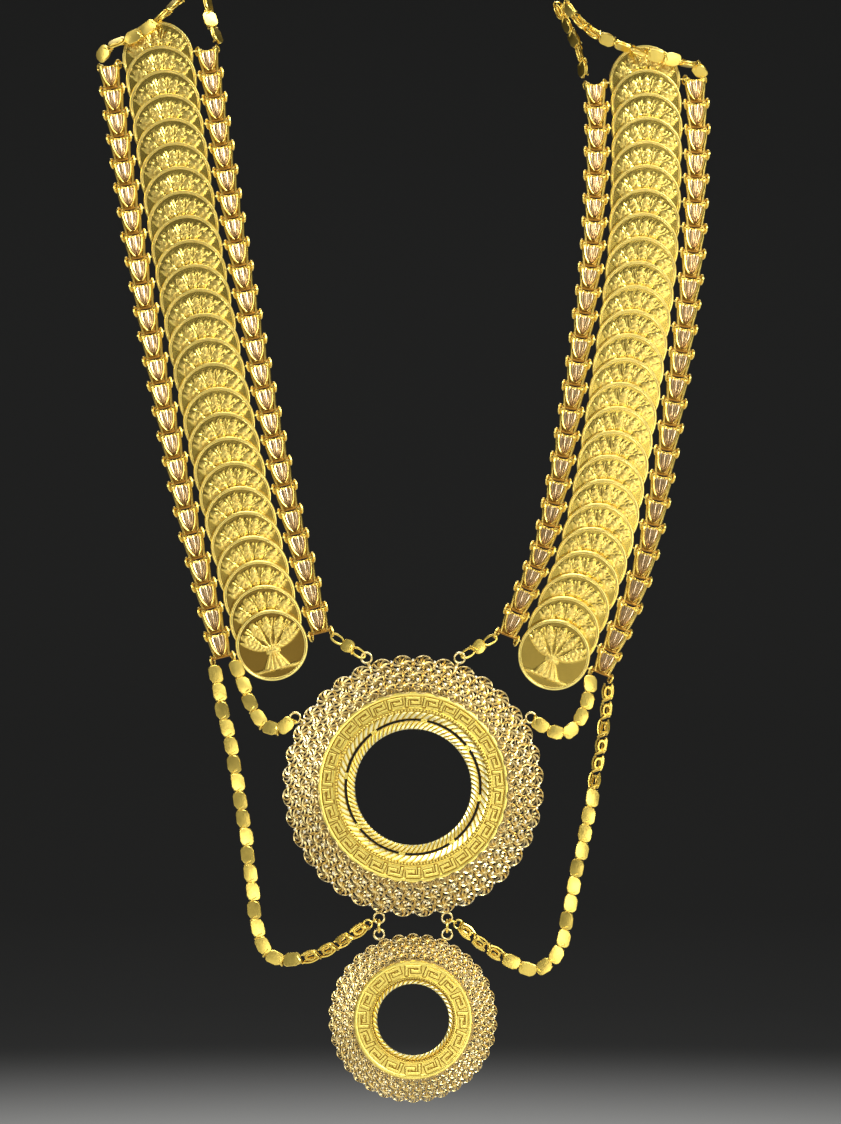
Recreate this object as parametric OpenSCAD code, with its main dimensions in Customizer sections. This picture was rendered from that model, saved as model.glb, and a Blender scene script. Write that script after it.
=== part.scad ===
// Gold coin necklace: two strips of overlapping coins between chains of tulip links,
// two open medallions with pierced borders, and flat link chains.
// X is across, -Y is the front, +Z is up. The origin is the neck side of the clasp, at the nape.

/* [Coins] */
// Diameter of a coin
coin_d = 22.05; // [21.6:0.05:22.3]
// Thickness of a coin at its rim
coin_t = 1.52; // [1.4:0.01:1.6]
// Width of the raised rim
coin_rim_w = 0.9; // [0.7:0.1:1.2]
// Depth of the coin's field below its rim
coin_field_drop = 0.2; // [0.15:0.01:0.25]
// Height of the wheat sheaf above the field
sheaf_h = 0.16; // [0.1:0.01:0.2]
// Coins in each strip
coin_count = 25; // [24:1:25]
// Clear space between two overlapping coins
coin_gap = 0.2; // [0.15:0.01:0.25]

/* [Tulip links] */
// Distance from a coin's centre to the middle of the chain beside it
border_offset = 15.5; // [15.4:0.05:15.6]
// Width of a tulip
tulip_w = 5.8; // [5.4:0.1:5.8]
// Thickness of a tulip's face
tulip_t = 0.9; // [0.7:0.1:1]
// Distance from the middle of a link to its side loops
loop_spread = 3.1; // [3.05:0.01:3.15]

/* [Flat links] */
// Width of a plate
plate_w = 4; // [3.6:0.1:4.2]
// Thickness of a plate
plate_t = 0.5; // [0.4:0.05:0.6]
// Links in the left long swag
left_swag_links = 22; // [21:1:22]
// Links in the right long swag
right_swag_links = 22; // [21:1:22]

/* [Large medallion] */
// Radius over the scallops
large_r = 40.15; // [39.8:0.05:40.3]
// Rosettes in a row
large_rosettes = 36; // [30:1:36]
// Radius of the seat for the large coin
large_seat_r = 18.15; // [18.1:0.01:18.2]
// Depth of the seat for the large coin
large_seat_depth = 2.9; // [2.5:0.1:3]
// Units of the key band
large_keys = 30; // [24:1:30]

/* [Small medallion] */
// Radius over the scallops
small_r = 25.9; // [25.6:0.05:26]
// Rosettes in a row
small_rosettes = 34; // [30:2:36]
// Radius of the seat for the small coin
small_seat_r = 11.15; // [11.1:0.01:11.2]
// Depth of the seat for the small coin
small_seat_depth = 2; // [1.6:0.1:2.1]
// Units of the key band
small_keys = 16; // [12:1:16]

/* [Neck chains] */
// Thickness of a neck chain
neck_chain_d = 3.6; // [3:0.1:3.8]

/* [Hidden] */
$fn = 32;
ring_fn = 24;
wire_fn = 16;
gold = "gold";
pale_gold = "khaki";
deep_gold = "goldenrod";
// Clear space between two linked pieces
gap = 0.1;
// Small overlap that joins two shapes of one solid
bite = 0.1;

// The chest: flat below chest_flat_z, and curving back above it
chest_front = 128;
chest_flat_z = -290;
chest_curve = 0.0004;

// Middle lines of the coin strips, from the top coin to the lowest: [x, z]
left_strip_line = [[-75.6, -64.3], [-64.4, -134], [-52, -196], [-39.5, -246.6]];
right_strip_line = [[75.6, -71.9], [76, -92], [73.1, -137.9], [60.9, -211.4], [46.8, -249.5]];
left_side = -1;
right_side = 1;
coin_r = coin_d / 2;
// A square wire at each side of a coin passes through the loops of the chains and ends in a head
coin_wire_w = 0.5;
coin_wire_end = 13.2;
coin_head_w = 0.8;
coin_head_l = 0.35;
// The chains' joints sit a little lower than the coins' wires, and in front of them
joint_drop = 0.35;
joint_front = 0.3;

// Side loops stand across the joint, and flat eyes at the top of the next link hang in them
loop_r = 1.3;
loop_wire = 0.25;
eye_r = 0.8;
eye_wire = 0.2;
eye_drop = 1.25;
tulip_start = 0.6;
tulip_end = 0.65;
tulip_back = 0.45;
tulip_steps = 6;
frame_back = 0.35;
frame_start = 1.8;
frame_top_w = 5.2;
frame_low_w = 5.6;
foot_w = 6.7;
foot_h = 0.8;
foot_low = 0.15;

// Flat links: a flat eye at the top, a standing eye at the bottom and a plate in front
link_eye_r = 0.8;
link_eye_wire = 0.2;
link_bar_w = 1.1;
link_bar_t = 0.5;
plate_back = 1.1;
plate_end = 0.28;
plate_steps = 6;

// Medallions
medallion_x = 3.7;
large_z = -289.6;
medallion_back_y = -chest_front;
border_t = 0.7;
medallion_loop_wire = 0.35;
large_loop_r = 1.6;
large_loop_at = 41.6;
small_loop_r = 1.55;
small_loop_at = 27.6;
hang_ring_r = 1.8;
hang_ring_wire = 0.4;
hang_spread = 10.4;
side_ring_r = 1.2;
side_ring_wire = 0.25;
end_ring_r = 1.3;
end_ring_wire = 0.27;
side_ring_angle = 60;
// Angles of the large medallion's upper loops, counter-clockwise from +X
large_loop_angles = [30, 70, 110, 150];
// Rows of pierced holes: [radius of the row, radius of a hole, holes in the row, turn of the row]
large_hole_rows = [[37.1, 2.1, large_rosettes, 0.5], [32.9, 1.6, large_rosettes, 0]];
small_hole_rows = [[23.9, 1.45, small_rosettes, 0.5], [20.8, 1.5, small_rosettes / 2, 0]];
large_scallop_at = 36.9;
small_scallop_at = 23.6;
hole_sides = 8;
// A wedge of solder joins each loop to the border: a long one between two scallops, a short one on a scallop
lug_w = 1.1;
lug_f = 0.25;
long_lug = 4.5;
short_lug = 2.2;
key_line = 0.31;
key_rise = 0.25;
slot_count = 8;
slot_bridge = 6;
slot_start = 83.5;
slot_in = 20.2;
slot_w = 0.6;

large_loop_drop = sqrt(pow(large_loop_at, 2) - pow(hang_spread, 2));
small_loop_rise = sqrt(pow(small_loop_at, 2) - pow(hang_spread, 2));
hang_z = large_z - large_loop_drop - (large_loop_r - medallion_loop_wire - hang_ring_wire - gap) - hang_ring_r;
small_loop_z = hang_z - hang_ring_r - (small_loop_r - medallion_loop_wire - hang_ring_wire - gap);
small_z = small_loop_z - small_loop_rise;

// Neck chains, from a strip's top to the ring where the two chains of a side meet: [x, y, z]
left_meet = [-63.3, -103, -40];
right_meet = [47.7, -103.6, -43];
left_outer_route = [[-93.6, -108.2, -65.4], [-92.4, -109.2, -62.8], [-89.2, -110.6, -61], [-84.8, -111.6, -59.8],
    [-79.9, -112, -57.6], [-75.6, -111.6, -54.2], [-71.6, -109.6, -50.2], [-68, -107.2, -46],
    [-65.8, -105.6, -42.8]];
left_inner_route = [[-57.3, -107.4, -60.1], [-58.8, -105, -55], [-60.4, -102.6, -50], [-61.6, -101.2, -44.6]];
right_inner_route = [[57.1, -108.9, -70.8], [56.8, -107.6, -66.2], [55.6, -106, -61.2], [53.2, -104.6, -56],
    [50.8, -102.8, -50.6], [49, -101.6, -46.8]];
right_outer_route = [[94.1, -109.2, -69.6], [93.4, -110, -67.4], [90.4, -111.4, -66.4], [83.8, -113.2, -65.6],
    [76.8, -113.8, -63.8], [70, -113.4, -61.6], [63.8, -112, -59.2], [58.6, -110.4, -55.8],
    [54.6, -108.8, -51.8], [51.2, -107, -47.4]];
left_nape_route = [[-63.5, -101, -39], [-63.6, -92, -34], [-63.2, -82, -29], [-62.3, -70, -22.8],
    [-61, -58, -17.5], [-60.1, -47.5, -13.6], [-57.3, -37.3, -10.2], [-52.8, -27.8, -7.2], [-46.7, -19.2, -4.8],
    [-39.2, -11.7, -2.9], [-30.5, -5.7, -1.5], [-20.9, -1.2, -0.6], [-14.4, 0.9, -0.1], [-9.7, 1.8, 0]];
right_nape_route = [[48.8, -101.4, -41.6], [52, -95, -37.4], [56.4, -84, -31.2], [59.6, -71, -23.8],
    [61, -58, -17.5], [60.1, -47.5, -13.6], [57.3, -37.3, -10.2], [52.8, -27.8, -7.2], [46.7, -19.2, -4.8],
    [39.2, -11.7, -2.9], [30.5, -5.7, -1.5], [20.9, -1.2, -0.6], [14.4, 0.9, -0.1], [9.7, 1.8, 0]];
meet_ring_r = 1.7;
meet_ring_wire = 0.4;
top_ring_r = 1.1;
top_ring_wire = 0.22;
clasp_r = 2.4;
clasp_l = 13;
clasp_loop_r = 1.3;
clasp_loop_wire = 0.35;
tube_sides = 8;

// Distance of the chest behind the height z
function chest_y(z) = chest_curve * pow(max(0, z - chest_flat_z), 2) - chest_front;
function on_chest(p) = [p[0], chest_y(p[1]), p[1]];
function unit(v) = v / norm(v);

// A smooth curve through the points p, at s steps along them
function blend(a, b, c, d, t) = 0.5 * (2 * b + (c - a) * t + (2 * a - 5 * b + 4 * c - d) * t * t
    + (3 * b - a - 3 * c + d) * t * t * t);
function curve_at(p, s) = let (
    n = len(p) - 1,
    i = min(n - 1, floor(s)),
    before = i == 0 ? 2 * p[0] - p[1] : p[i - 1],
    after = i + 2 > n ? 2 * p[n] - p[n - 1] : p[i + 2]
) blend(before, p[i], p[i + 1], after, s - i);
function lengths(q) = [for (i = 0, s = 0; i < len(q); s = s + (i + 1 < len(q) ? norm(q[i + 1] - q[i]) : 0),
    i = i + 1) s];
// The same curve cut into n equal steps
function spaced(p, n) = let (
    m = 24 * (len(p) - 1),
    q = [for (k = [0 : m]) curve_at(p, k * (len(p) - 1) / m)],
    l = lengths(q),
    table = [for (i = [0 : m]) [l[i], i]]
) [for (k = [0 : n]) let (s = lookup(k * l[m] / n, table), i = min(m - 1, floor(s)))
    q[i] + (s - i) * (q[i + 1] - q[i])];

// Direction d as a turn in the front plane and a lean towards the back
function turn_of(d) = atan2(-d[0], -d[2]);
function lean_of(d) = asin(d[1] / norm(d));
function across(d) = [cos(turn_of(d)), 0, -sin(turn_of(d))];
function front(d) = [-sin(lean_of(d)) * sin(turn_of(d)), -cos(lean_of(d)), -sin(lean_of(d)) * cos(turn_of(d))];

// Coin centres of a strip, and the direction of the strip at coin i
function coin_points(line) = spaced([for (p = line) on_chest(p)], coin_count - 1);
function strip_way(c, i) = c[min(i + 1, len(c) - 1)] - c[max(i - 1, 0)];
function strip_pitch(c) = norm(c[1] - c[0]);
// Joints of the chain beside a strip
function joint_points(c, side) = [for (i = [0 : len(c) - 1]) let (d = strip_way(c, i))
    c[i] + side * border_offset * across(d) + joint_front * front(d) + joint_drop * unit(d)];
// Lowest point of a side loop of a chain's last link, where a swag hangs
function loop_hook(c, side, loop_side) = let (
    j = joint_points(c, side),
    n = len(j) - 1,
    d = j[n] - j[n - 1]
) j[n] + loop_side * loop_spread * across(d) + loop_r * unit(d);
// A point inside a ring's hole, as near its rim as a wire may lie
function ring_hook(centre, ring_r, ring_wire, wire, towards) = centre
    + (ring_r - ring_wire - wire - gap) * unit(towards - centre);

left_coins = coin_points(left_strip_line);
right_coins = coin_points(right_strip_line);

function large_loop(a) = [medallion_x + large_loop_at * cos(a), medallion_back_y, large_z + large_loop_at * sin(a)];
function low_loop(side) = [medallion_x + side * hang_spread, medallion_back_y, large_z - large_loop_drop];
function side_way(side) = [side * sin(side_ring_angle), 0, -cos(side_ring_angle)];
side_ring_out = large_loop_r - medallion_loop_wire - side_ring_wire - gap + side_ring_r;
end_ring_out = side_ring_out + side_ring_r - side_ring_wire - end_ring_wire - gap + end_ring_r;
function side_ring_at(side) = low_loop(side) + side_ring_out * side_way(side);
function end_ring_at(side) = low_loop(side) + end_ring_out * side_way(side);

// Middle lines of the swags between their two hooks: [x, z]
left_long_line = [[-54.4, -267.1], [-51.7, -278.1], [-49.9, -289.4], [-48, -300.4], [-46.5, -312.4],
    [-45, -324.6], [-43.6, -335], [-39.4, -342.2], [-30.9, -342.6], [-21.7, -339.4]];
right_long_line = [[62.6, -266.4], [61.4, -275.6], [59.5, -285.7], [57.7, -296.4], [55.7, -306.5],
    [53.2, -317.3], [51.1, -328], [48.6, -339.2], [42.4, -346], [33.4, -343], [25, -338.2]];
left_inner_line = [[-47.7, -260], [-43.3, -269.6], [-39, -273.2]];
right_inner_line = [[57.4, -262], [54.4, -270], [48.4, -274.2]];
function route(from, line, to) = concat([from], [for (p = line) on_chest(p)], [to]);

module hang(a, b) {
    d = b - a;
    translate(a) rotate([lean_of(d), turn_of(d), 0]) children();
}

module flat_ring(r, wire) {
    rotate([90, 0, 0]) rotate_extrude($fn = ring_fn) translate([r, 0]) circle(wire, $fn = wire_fn);
}

module standing_ring(r, wire) {
    rotate([0, 90, 0]) rotate_extrude($fn = ring_fn) translate([r, 0]) circle(wire, $fn = wire_fn);
}

// The same with a square section, for the ends of links
module flat_eye(r, wire) {
    rotate([90, 0, 0]) difference() {
        cylinder(r = r + wire, h = 2 * wire, center = true);
        cylinder(r = r - wire, h = 4 * wire, center = true);
    }
}

module standing_eye(r, wire) {
    rotate([0, 0, 90]) flat_eye(r, wire);
}

// A plate in the front plane, from y back to y front
module front_plate(back, front) {
    rotate([90, 0, 0]) translate([0, 0, back]) linear_extrude(front - back) children();
}

// Coins
function around(a, r) = [r * sin(a), r * cos(a)];

module wheat_sheaf() {
    spread = 26;
    translate([0, -1.8]) polygon(concat(
        [for (a = [-2 * spread : spread : 2 * spread]) each
            [around(a - spread / 2, 3.4), around(a - 7.5, 7.2), around(a, 10.2), around(a + 7.5, 7.2)]],
        [[1.5, 0.5], [1.5, -0.5], [2.6, -4.7], [5, -4.7], [5, -5.2],
            [-5, -5.2], [-5, -4.7], [-2.6, -4.7], [-1.5, -0.5], [-1.5, 0.5]]));
}

module coin() {
    half = coin_t / 2;
    field = half - coin_field_drop;
    inner = coin_r - coin_rim_w;
    rotate([90, 0, 0]) {
        rotate_extrude($fn = 64) polygon([[0, -field], [inner - 0.2, -field], [inner, -half], [coin_r, -half],
            [coin_r, half], [inner, half], [inner - 0.2, field], [0, field]]);
        translate([0, 0, field - bite]) linear_extrude(sheaf_h + bite) wheat_sheaf();
    }
    cube([2 * coin_wire_end - coin_head_l, coin_wire_w, coin_wire_w], center = true);
    for (s = [left_side, right_side])
        translate([s * (coin_wire_end - coin_head_l / 2), 0, 0])
            cube([coin_head_l, coin_head_w, coin_head_w], center = true);
}

module coin_strip(c) {
    tilt = asin((coin_t + coin_gap) / strip_pitch(c));
    color(deep_gold) for (i = [0 : len(c) - 1]) {
        d = strip_way(c, i);
        translate(c[i]) rotate([lean_of(d), turn_of(d), 0]) rotate([tilt, 0, 0]) coin();
    }
}

module left_coin_strip() {
    coin_strip(left_coins);
}

module right_coin_strip() {
    coin_strip(right_coins);
}

// Tulip chains
function tulip_half(t) = tulip_w / 2 * pow(cos(90 * pow(t, 1.7)), 0.8) * (0.86 + 0.14 * min(1, 3 * t));

module tulip_outline(l) {
    long = l - tulip_start - tulip_end;
    side = [for (k = [0 : tulip_steps - 1]) [tulip_half(k / tulip_steps), -tulip_start - long * k / tulip_steps]];
    polygon(concat([[0, -tulip_start - 0.5]], side, [[0, -tulip_start - long]],
        [for (k = [tulip_steps - 1 : -1 : 0]) [-side[k][0], side[k][1]]]));
}

module tulip_link(l) {
    low = l - loop_r;
    front_plate(tulip_back, tulip_back + tulip_t) tulip_outline(l);
    front_plate(-frame_back, tulip_back + bite)
        polygon([[-frame_top_w / 2, -frame_start], [frame_top_w / 2, -frame_start], [frame_low_w / 2, foot_h - low],
            [foot_w / 2, foot_h - low], [foot_w / 2, -foot_low - low], [-foot_w / 2, -foot_low - low],
            [-foot_w / 2, foot_h - low], [-frame_low_w / 2, foot_h - low]]);
    for (s = [left_side, right_side]) {
        translate([s * loop_spread, 0, -eye_drop]) flat_eye(eye_r, eye_wire);
        translate([s * loop_spread, 0, -l]) standing_eye(loop_r, loop_wire);
    }
}

module tulip_chain(c, side) {
    j = joint_points(c, side);
    color(pale_gold) for (i = [1 : len(j) - 1]) hang(j[i - 1], j[i]) tulip_link(norm(j[i] - j[i - 1]));
}

module left_outer_border() {
    tulip_chain(left_coins, left_side);
}

module left_inner_border() {
    tulip_chain(left_coins, right_side);
}

module right_inner_border() {
    tulip_chain(right_coins, left_side);
}

module right_outer_border() {
    tulip_chain(right_coins, right_side);
}

// Flat link chains
module flat_link(l, hook_wire, plated) {
    eye_at = link_eye_r - link_eye_wire - sqrt(2) * hook_wire - gap;
    bar_top = eye_at + link_eye_r;
    bar_low = l - 2 * link_eye_r;
    plate_l = l - 2 * plate_end;
    translate([0, 0, -eye_at]) flat_eye(link_eye_r, link_eye_wire);
    translate([0, 0, link_eye_r - l]) standing_eye(link_eye_r, link_eye_wire);
    translate([-link_bar_w / 2, plated ? -plate_back - bite : -link_bar_t / 2, -bar_low])
        cube([link_bar_w, link_bar_t / 2 + (plated ? plate_back + bite : link_bar_t / 2), bar_low - bar_top]);
    if (plated)
        front_plate(plate_back, plate_back + plate_t) translate([0, -l / 2])
            polygon([for (k = [0 : 2 * plate_steps - 1]) let (a = 180 * (k + 0.5) / plate_steps)
                [plate_w / 2 * sin(a), plate_l / 2 * cos(a)]]);
}

// Links through the points j; bare lists the links with no plate
module link_chain(j, first_hook, bare = []) {
    for (i = [1 : len(j) - 1])
        hang(j[i - 1], j[i])
            flat_link(norm(j[i] - j[i - 1]), i == 1 ? first_hook : link_eye_wire, len(search(i, bare)) == 0);
}

module end_rings(side) {
    translate(side_ring_at(side)) rotate([0, -side * side_ring_angle, 0]) standing_ring(side_ring_r, side_ring_wire);
    translate(end_ring_at(side)) flat_ring(end_ring_r, end_ring_wire);
}

module long_swag(coins, strip_side, line, n) {
    from = loop_hook(coins, strip_side, strip_side);
    to = ring_hook(end_ring_at(strip_side), end_ring_r, end_ring_wire, link_eye_wire, on_chest(line[len(line) - 1]));
    color(gold) {
        link_chain(spaced(route(from, line, to), n), loop_wire);
        end_rings(strip_side);
    }
}

module left_long_swag() {
    long_swag(left_coins, left_side, left_long_line, left_swag_links);
}

module right_long_swag() {
    long_swag(right_coins, right_side, right_long_line, right_swag_links);
}

module inner_swag(coins, strip_side, line, loop_angle, n) {
    from = loop_hook(coins, strip_side, -strip_side);
    to = ring_hook(large_loop(loop_angle), large_loop_r, medallion_loop_wire, link_eye_wire,
        on_chest(line[len(line) - 1]));
    color(gold) link_chain(spaced(route(from, line, to), n), loop_wire);
}

module left_inner_swag() {
    inner_swag(left_coins, left_side, left_inner_line, large_loop_angles[3], 6);
}

module right_inner_swag() {
    inner_swag(right_coins, right_side, right_inner_line, large_loop_angles[0], 6);
}

module short_chain(coins, strip_side, loop_angle, n, bare) {
    from = loop_hook(coins, -strip_side, -strip_side);
    to = ring_hook(large_loop(loop_angle), large_loop_r, medallion_loop_wire, link_eye_wire, from);
    color(gold) link_chain([for (k = [0 : n]) from + (to - from) * k / n], loop_wire, bare);
}

module left_short_chain() {
    short_chain(left_coins, left_side, large_loop_angles[2], 2, [2]);
}

module right_short_chain() {
    short_chain(right_coins, right_side, large_loop_angles[1], 3, [1, 3]);
}

// Medallions
// A cone of the border's thickness with a flat rim inside, scalloped outside and pierced in rows
module pierced_border(rim_in, rim_out, rim_f, r_out, count, scallop_at, hole_rows) {
    rotate([90, 0, 0]) difference() {
        intersection() {
            rotate_extrude($fn = 96) polygon([[rim_in, rim_f], [rim_out, rim_f], [r_out + 0.5, -0.3],
                [r_out + 0.5, border_t - 0.3], [rim_out, rim_f + border_t], [rim_in, rim_f + border_t]]);
            union() {
                cylinder(r = scallop_at + 0.4, h = rim_f + 2, $fn = 96);
                for (k = [0 : count - 1])
                    rotate(360 * (k + 0.5) / count) translate([scallop_at, 0, 0])
                        cylinder(r = r_out - scallop_at, h = rim_f + 2);
            }
        }
        for (row = hole_rows, k = [0 : row[2] - 1])
            rotate(360 * (k + row[3]) / row[2]) translate([row[0], 0, -1])
                cylinder(r = row[1], h = rim_f + 4, $fn = hole_sides);
    }
}

// A loop on the border at the angle a, with its solder
module border_loop(a, at, r, lug) {
    end = at - r + 0.05;
    rotate([0, -a, 0]) {
        translate([at, 0, 0]) flat_ring(r, medallion_loop_wire);
        rotate([90, 0, 0]) rotate([90, 0, 0]) translate([0, 0, -lug_w / 2]) linear_extrude(lug_w)
            polygon([[at - lug, 0.65 * (lug - r) - 0.35], [end - 0.4, -lug_f], [end, -lug_f], [end, lug_f],
                [at - lug, 0.65 * (lug - r) + 0.75]]);
    }
}

module large_filigree_border() {
    low = asin(hang_spread / large_loop_at);
    color(pale_gold) translate([medallion_x, medallion_back_y, large_z]) {
        pierced_border(28.95, 30.4, 6.3, large_r, large_rosettes, large_scallop_at, large_hole_rows);
        for (a = large_loop_angles) border_loop(a, large_loop_at, large_loop_r, long_lug);
        for (a = [270 - low, 270 + low]) border_loop(a, large_loop_at, large_loop_r, short_lug);
    }
}

module small_filigree_border() {
    top = asin(hang_spread / small_loop_at);
    color(pale_gold) translate([medallion_x, medallion_back_y, small_z]) {
        pierced_border(17.55, 18.6, 4.6, small_r, small_rosettes, small_scallop_at, small_hole_rows);
        for (a = [90 - top, 90 + top]) border_loop(a, small_loop_at, small_loop_r, short_lug);
    }
}

// One unit of the key band: a line that turns inwards, h high and w wide
module key_hook(w, h) {
    t = key_line;
    low = 0.36 * h;
    end = 0.64 * h;
    mid = 0.45 * w;
    polygon([[-t, -t], [-t, h + t], [w + t, h + t], [w + t, low - t], [mid - t, low - t], [mid - t, end],
        [mid + t, end], [mid + t, low + t], [w - t, low + t], [w - t, h - t], [t, h - t], [t, -t]]);
}

module key_band(count, r_in, r_out, f) {
    pitch = 360 / count;
    w = 0.72 * r_in * PI * pitch / 180;
    for (k = [0 : count - 1])
        rotate(k * pitch) translate([-w / 2, r_in, f - bite]) linear_extrude(key_rise + bite)
            key_hook(w, r_out - r_in);
}

module large_coin_frame() {
    lip = large_seat_r - 0.5;
    back = 6 - large_seat_depth;
    color(gold) translate([medallion_x, medallion_back_y, large_z]) rotate([90, 0, 0]) {
        difference() {
            rotate_extrude($fn = 96) polygon([[lip, 6], [lip, 6.6], [18.3, 7.2], [19.2, 7.2], [19.95, 6.6],
                [20, 6.1], [21, 6.1], [21.1, 6.6], [23.3, 7.6], [23.45, 7.85], [23.85, 7.85], [23.9, 7.6],
                [28.3, 7.6], [28.4, 7.9], [29.7, 7.9], [29.7, 7.1], [28.8, 7.1], [28.8, 6.2], [30.2, 6.2],
                [30.2, 5.6], [21.5, 5.2], [19.7, 5.2], [19.7, back], [large_seat_r, back], [large_seat_r, 6]]);
            for (k = [0 : slot_count - 1])
                rotate(slot_start + 360 * k / slot_count)
                    rotate_extrude(angle = 360 / slot_count - slot_bridge, $fn = 96)
                        translate([slot_in, 4]) square([slot_w, 3]);
        }
        key_band(large_keys, 24.3, 27.9, 7.6);
    }
}

module small_coin_frame() {
    lip = small_seat_r - 0.25;
    back = 4.4 - small_seat_depth;
    color(gold) translate([medallion_x, medallion_back_y, small_z]) rotate([90, 0, 0]) {
        rotate_extrude($fn = 96) polygon([[lip, 4.4], [lip, 5], [11.4, 5.6], [12.1, 5.6], [12.5, 5.3],
            [12.55, 6.1], [12.85, 6.1], [12.9, 5.85], [16.9, 5.85], [17, 6.1], [18, 6.1], [18, 5.4],
            [17.4, 5.4], [17.4, 4.5], [18.4, 4.5], [18.4, 3.9], [12.6, 3.9], [12.6, back],
            [small_seat_r, back], [small_seat_r, 4.4]]);
        key_band(small_keys, 13.3, 16.5, 5.85);
    }
}

module hanging_rings() {
    color(gold) for (s = [left_side, right_side])
        translate([medallion_x + s * hang_spread, medallion_back_y, hang_z])
            standing_ring(hang_ring_r, hang_ring_wire);
}

// Neck chains, as plain tubes along their routes
function route_way(p, i) = unit(p[min(i + 1, len(p) - 1)] - p[max(i - 1, 0)]);
function tube_ring(p, i, r, ref) = let (
    t = route_way(p, i),
    a = unit(cross(t, ref)),
    b = cross(a, t)
) [for (k = [0 : tube_sides - 1]) p[i] + r * (cos(360 * k / tube_sides) * a + sin(360 * k / tube_sides) * b)];

module tube(p, r, ref) {
    n = len(p);
    m = tube_sides;
    points = [for (i = [0 : n - 1]) each tube_ring(p, i, r, ref)];
    sides = [for (i = [0 : n - 2], k = [0 : m - 1]) let (q = (k + 1) % m)
        [i * m + k, i * m + q, (i + 1) * m + q, (i + 1) * m + k]];
    ends = [[for (k = [m - 1 : -1 : 0]) k], [for (k = [0 : m - 1]) (n - 1) * m + k]];
    polyhedron(points, concat(sides, ends));
}

module neck_tube(p, ref) {
    color(gold) tube(p, neck_chain_d / 2, ref);
}

module left_outer_neck_chain() {
    neck_tube(left_outer_route, [0, 1, 0]);
}

module left_inner_neck_chain() {
    neck_tube(left_inner_route, [0, 1, 0]);
}

module right_inner_neck_chain() {
    neck_tube(right_inner_route, [0, 1, 0]);
}

module right_outer_neck_chain() {
    neck_tube(right_outer_route, [0, 1, 0]);
}

module left_nape_chain() {
    neck_tube(left_nape_route, [0, 0, 1]);
}

module right_nape_chain() {
    neck_tube(right_nape_route, [0, 0, 1]);
}

// A ring in a top eye of a chain's first link: r to the wire's middle, and up to the ring's middle from the joint
module start_ring(c, side, eye_side, r, wire, up) {
    j = joint_points(c, side);
    d = j[1] - j[0];
    translate(j[0] + eye_side * loop_spread * across(d)) rotate([lean_of(d), turn_of(d), 0])
        translate([0, 0, up]) standing_ring(r, wire);
}

// The outer eye hangs from the neck chain, and the inner one holds the first coin's wire
module start_rings(c, side) {
    start_ring(c, side, side, top_ring_r, top_ring_wire, top_ring_r - eye_drop);
    start_ring(c, side, -side, loop_r, loop_wire, 0);
}

module neck_rings() {
    color(gold) {
        for (c = [left_coins, right_coins], side = [left_side, right_side]) start_rings(c, side);
        translate(left_meet) flat_ring(meet_ring_r, meet_ring_wire);
        translate(right_meet) flat_ring(meet_ring_r, meet_ring_wire);
    }
}

module clasp() {
    color(gold) translate([0, clasp_r, 0]) {
        translate([-clasp_l / 2, 0, 0]) rotate([0, 90, 0]) cylinder(r = clasp_r, h = clasp_l);
        for (s = [left_side, right_side])
            translate([s * (clasp_l / 2 + clasp_loop_r - 0.1), 0, 0]) rotate([90, 0, 0])
                flat_ring(clasp_loop_r, clasp_loop_wire);
    }
}

left_coin_strip();
right_coin_strip();
left_outer_border();
left_inner_border();
right_inner_border();
right_outer_border();
large_filigree_border();
large_coin_frame();
small_filigree_border();
small_coin_frame();
hanging_rings();
left_long_swag();
right_long_swag();
left_inner_swag();
right_inner_swag();
left_short_chain();
right_short_chain();
left_outer_neck_chain();
left_inner_neck_chain();
right_inner_neck_chain();
right_outer_neck_chain();
left_nape_chain();
right_nape_chain();
neck_rings();
clasp();
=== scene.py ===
"""Looks of the gold coin necklace: coins, tulip chains, pierced medallions and flat link chains."""

import math

import bpy
import numpy as np
from bpy.props import FloatProperty, FloatVectorProperty, IntProperty, PointerProperty
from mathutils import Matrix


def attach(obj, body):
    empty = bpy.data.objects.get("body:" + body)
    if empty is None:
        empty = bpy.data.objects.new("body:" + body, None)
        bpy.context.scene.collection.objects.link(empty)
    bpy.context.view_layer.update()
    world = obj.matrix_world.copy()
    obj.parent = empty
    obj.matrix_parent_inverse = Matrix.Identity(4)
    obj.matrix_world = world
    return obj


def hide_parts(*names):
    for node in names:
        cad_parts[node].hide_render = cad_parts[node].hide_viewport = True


bl_info = {
    "name": "Gold coin necklace",
    "version": (1, 0, 0),
    "blender": (4, 5, 0),
    "location": "3D View > Sidebar > Necklace",
    "description": "Builds the finished pieces of a gold coin necklace around its packed model",
    "category": "Object",
}

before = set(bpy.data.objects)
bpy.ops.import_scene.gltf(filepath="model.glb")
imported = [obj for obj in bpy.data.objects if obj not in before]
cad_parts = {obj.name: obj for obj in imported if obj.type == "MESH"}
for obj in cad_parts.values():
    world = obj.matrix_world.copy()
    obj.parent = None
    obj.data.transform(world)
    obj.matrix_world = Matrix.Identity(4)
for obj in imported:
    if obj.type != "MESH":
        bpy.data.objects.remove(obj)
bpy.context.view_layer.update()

# Millimetres in a metre, then in metres the floor, the aims, and the camera's distance and field of view
MM = 1000
FLOOR_Z, VIEW_MIDDLE, LIGHT_MIDDLE = -0.62, (0.00597, -0.126, -0.2212), (0.006, -0.12, -0.22)
CAMERA_WAY, VIEW_HEIGHT = 1.2, 0.344

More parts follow.
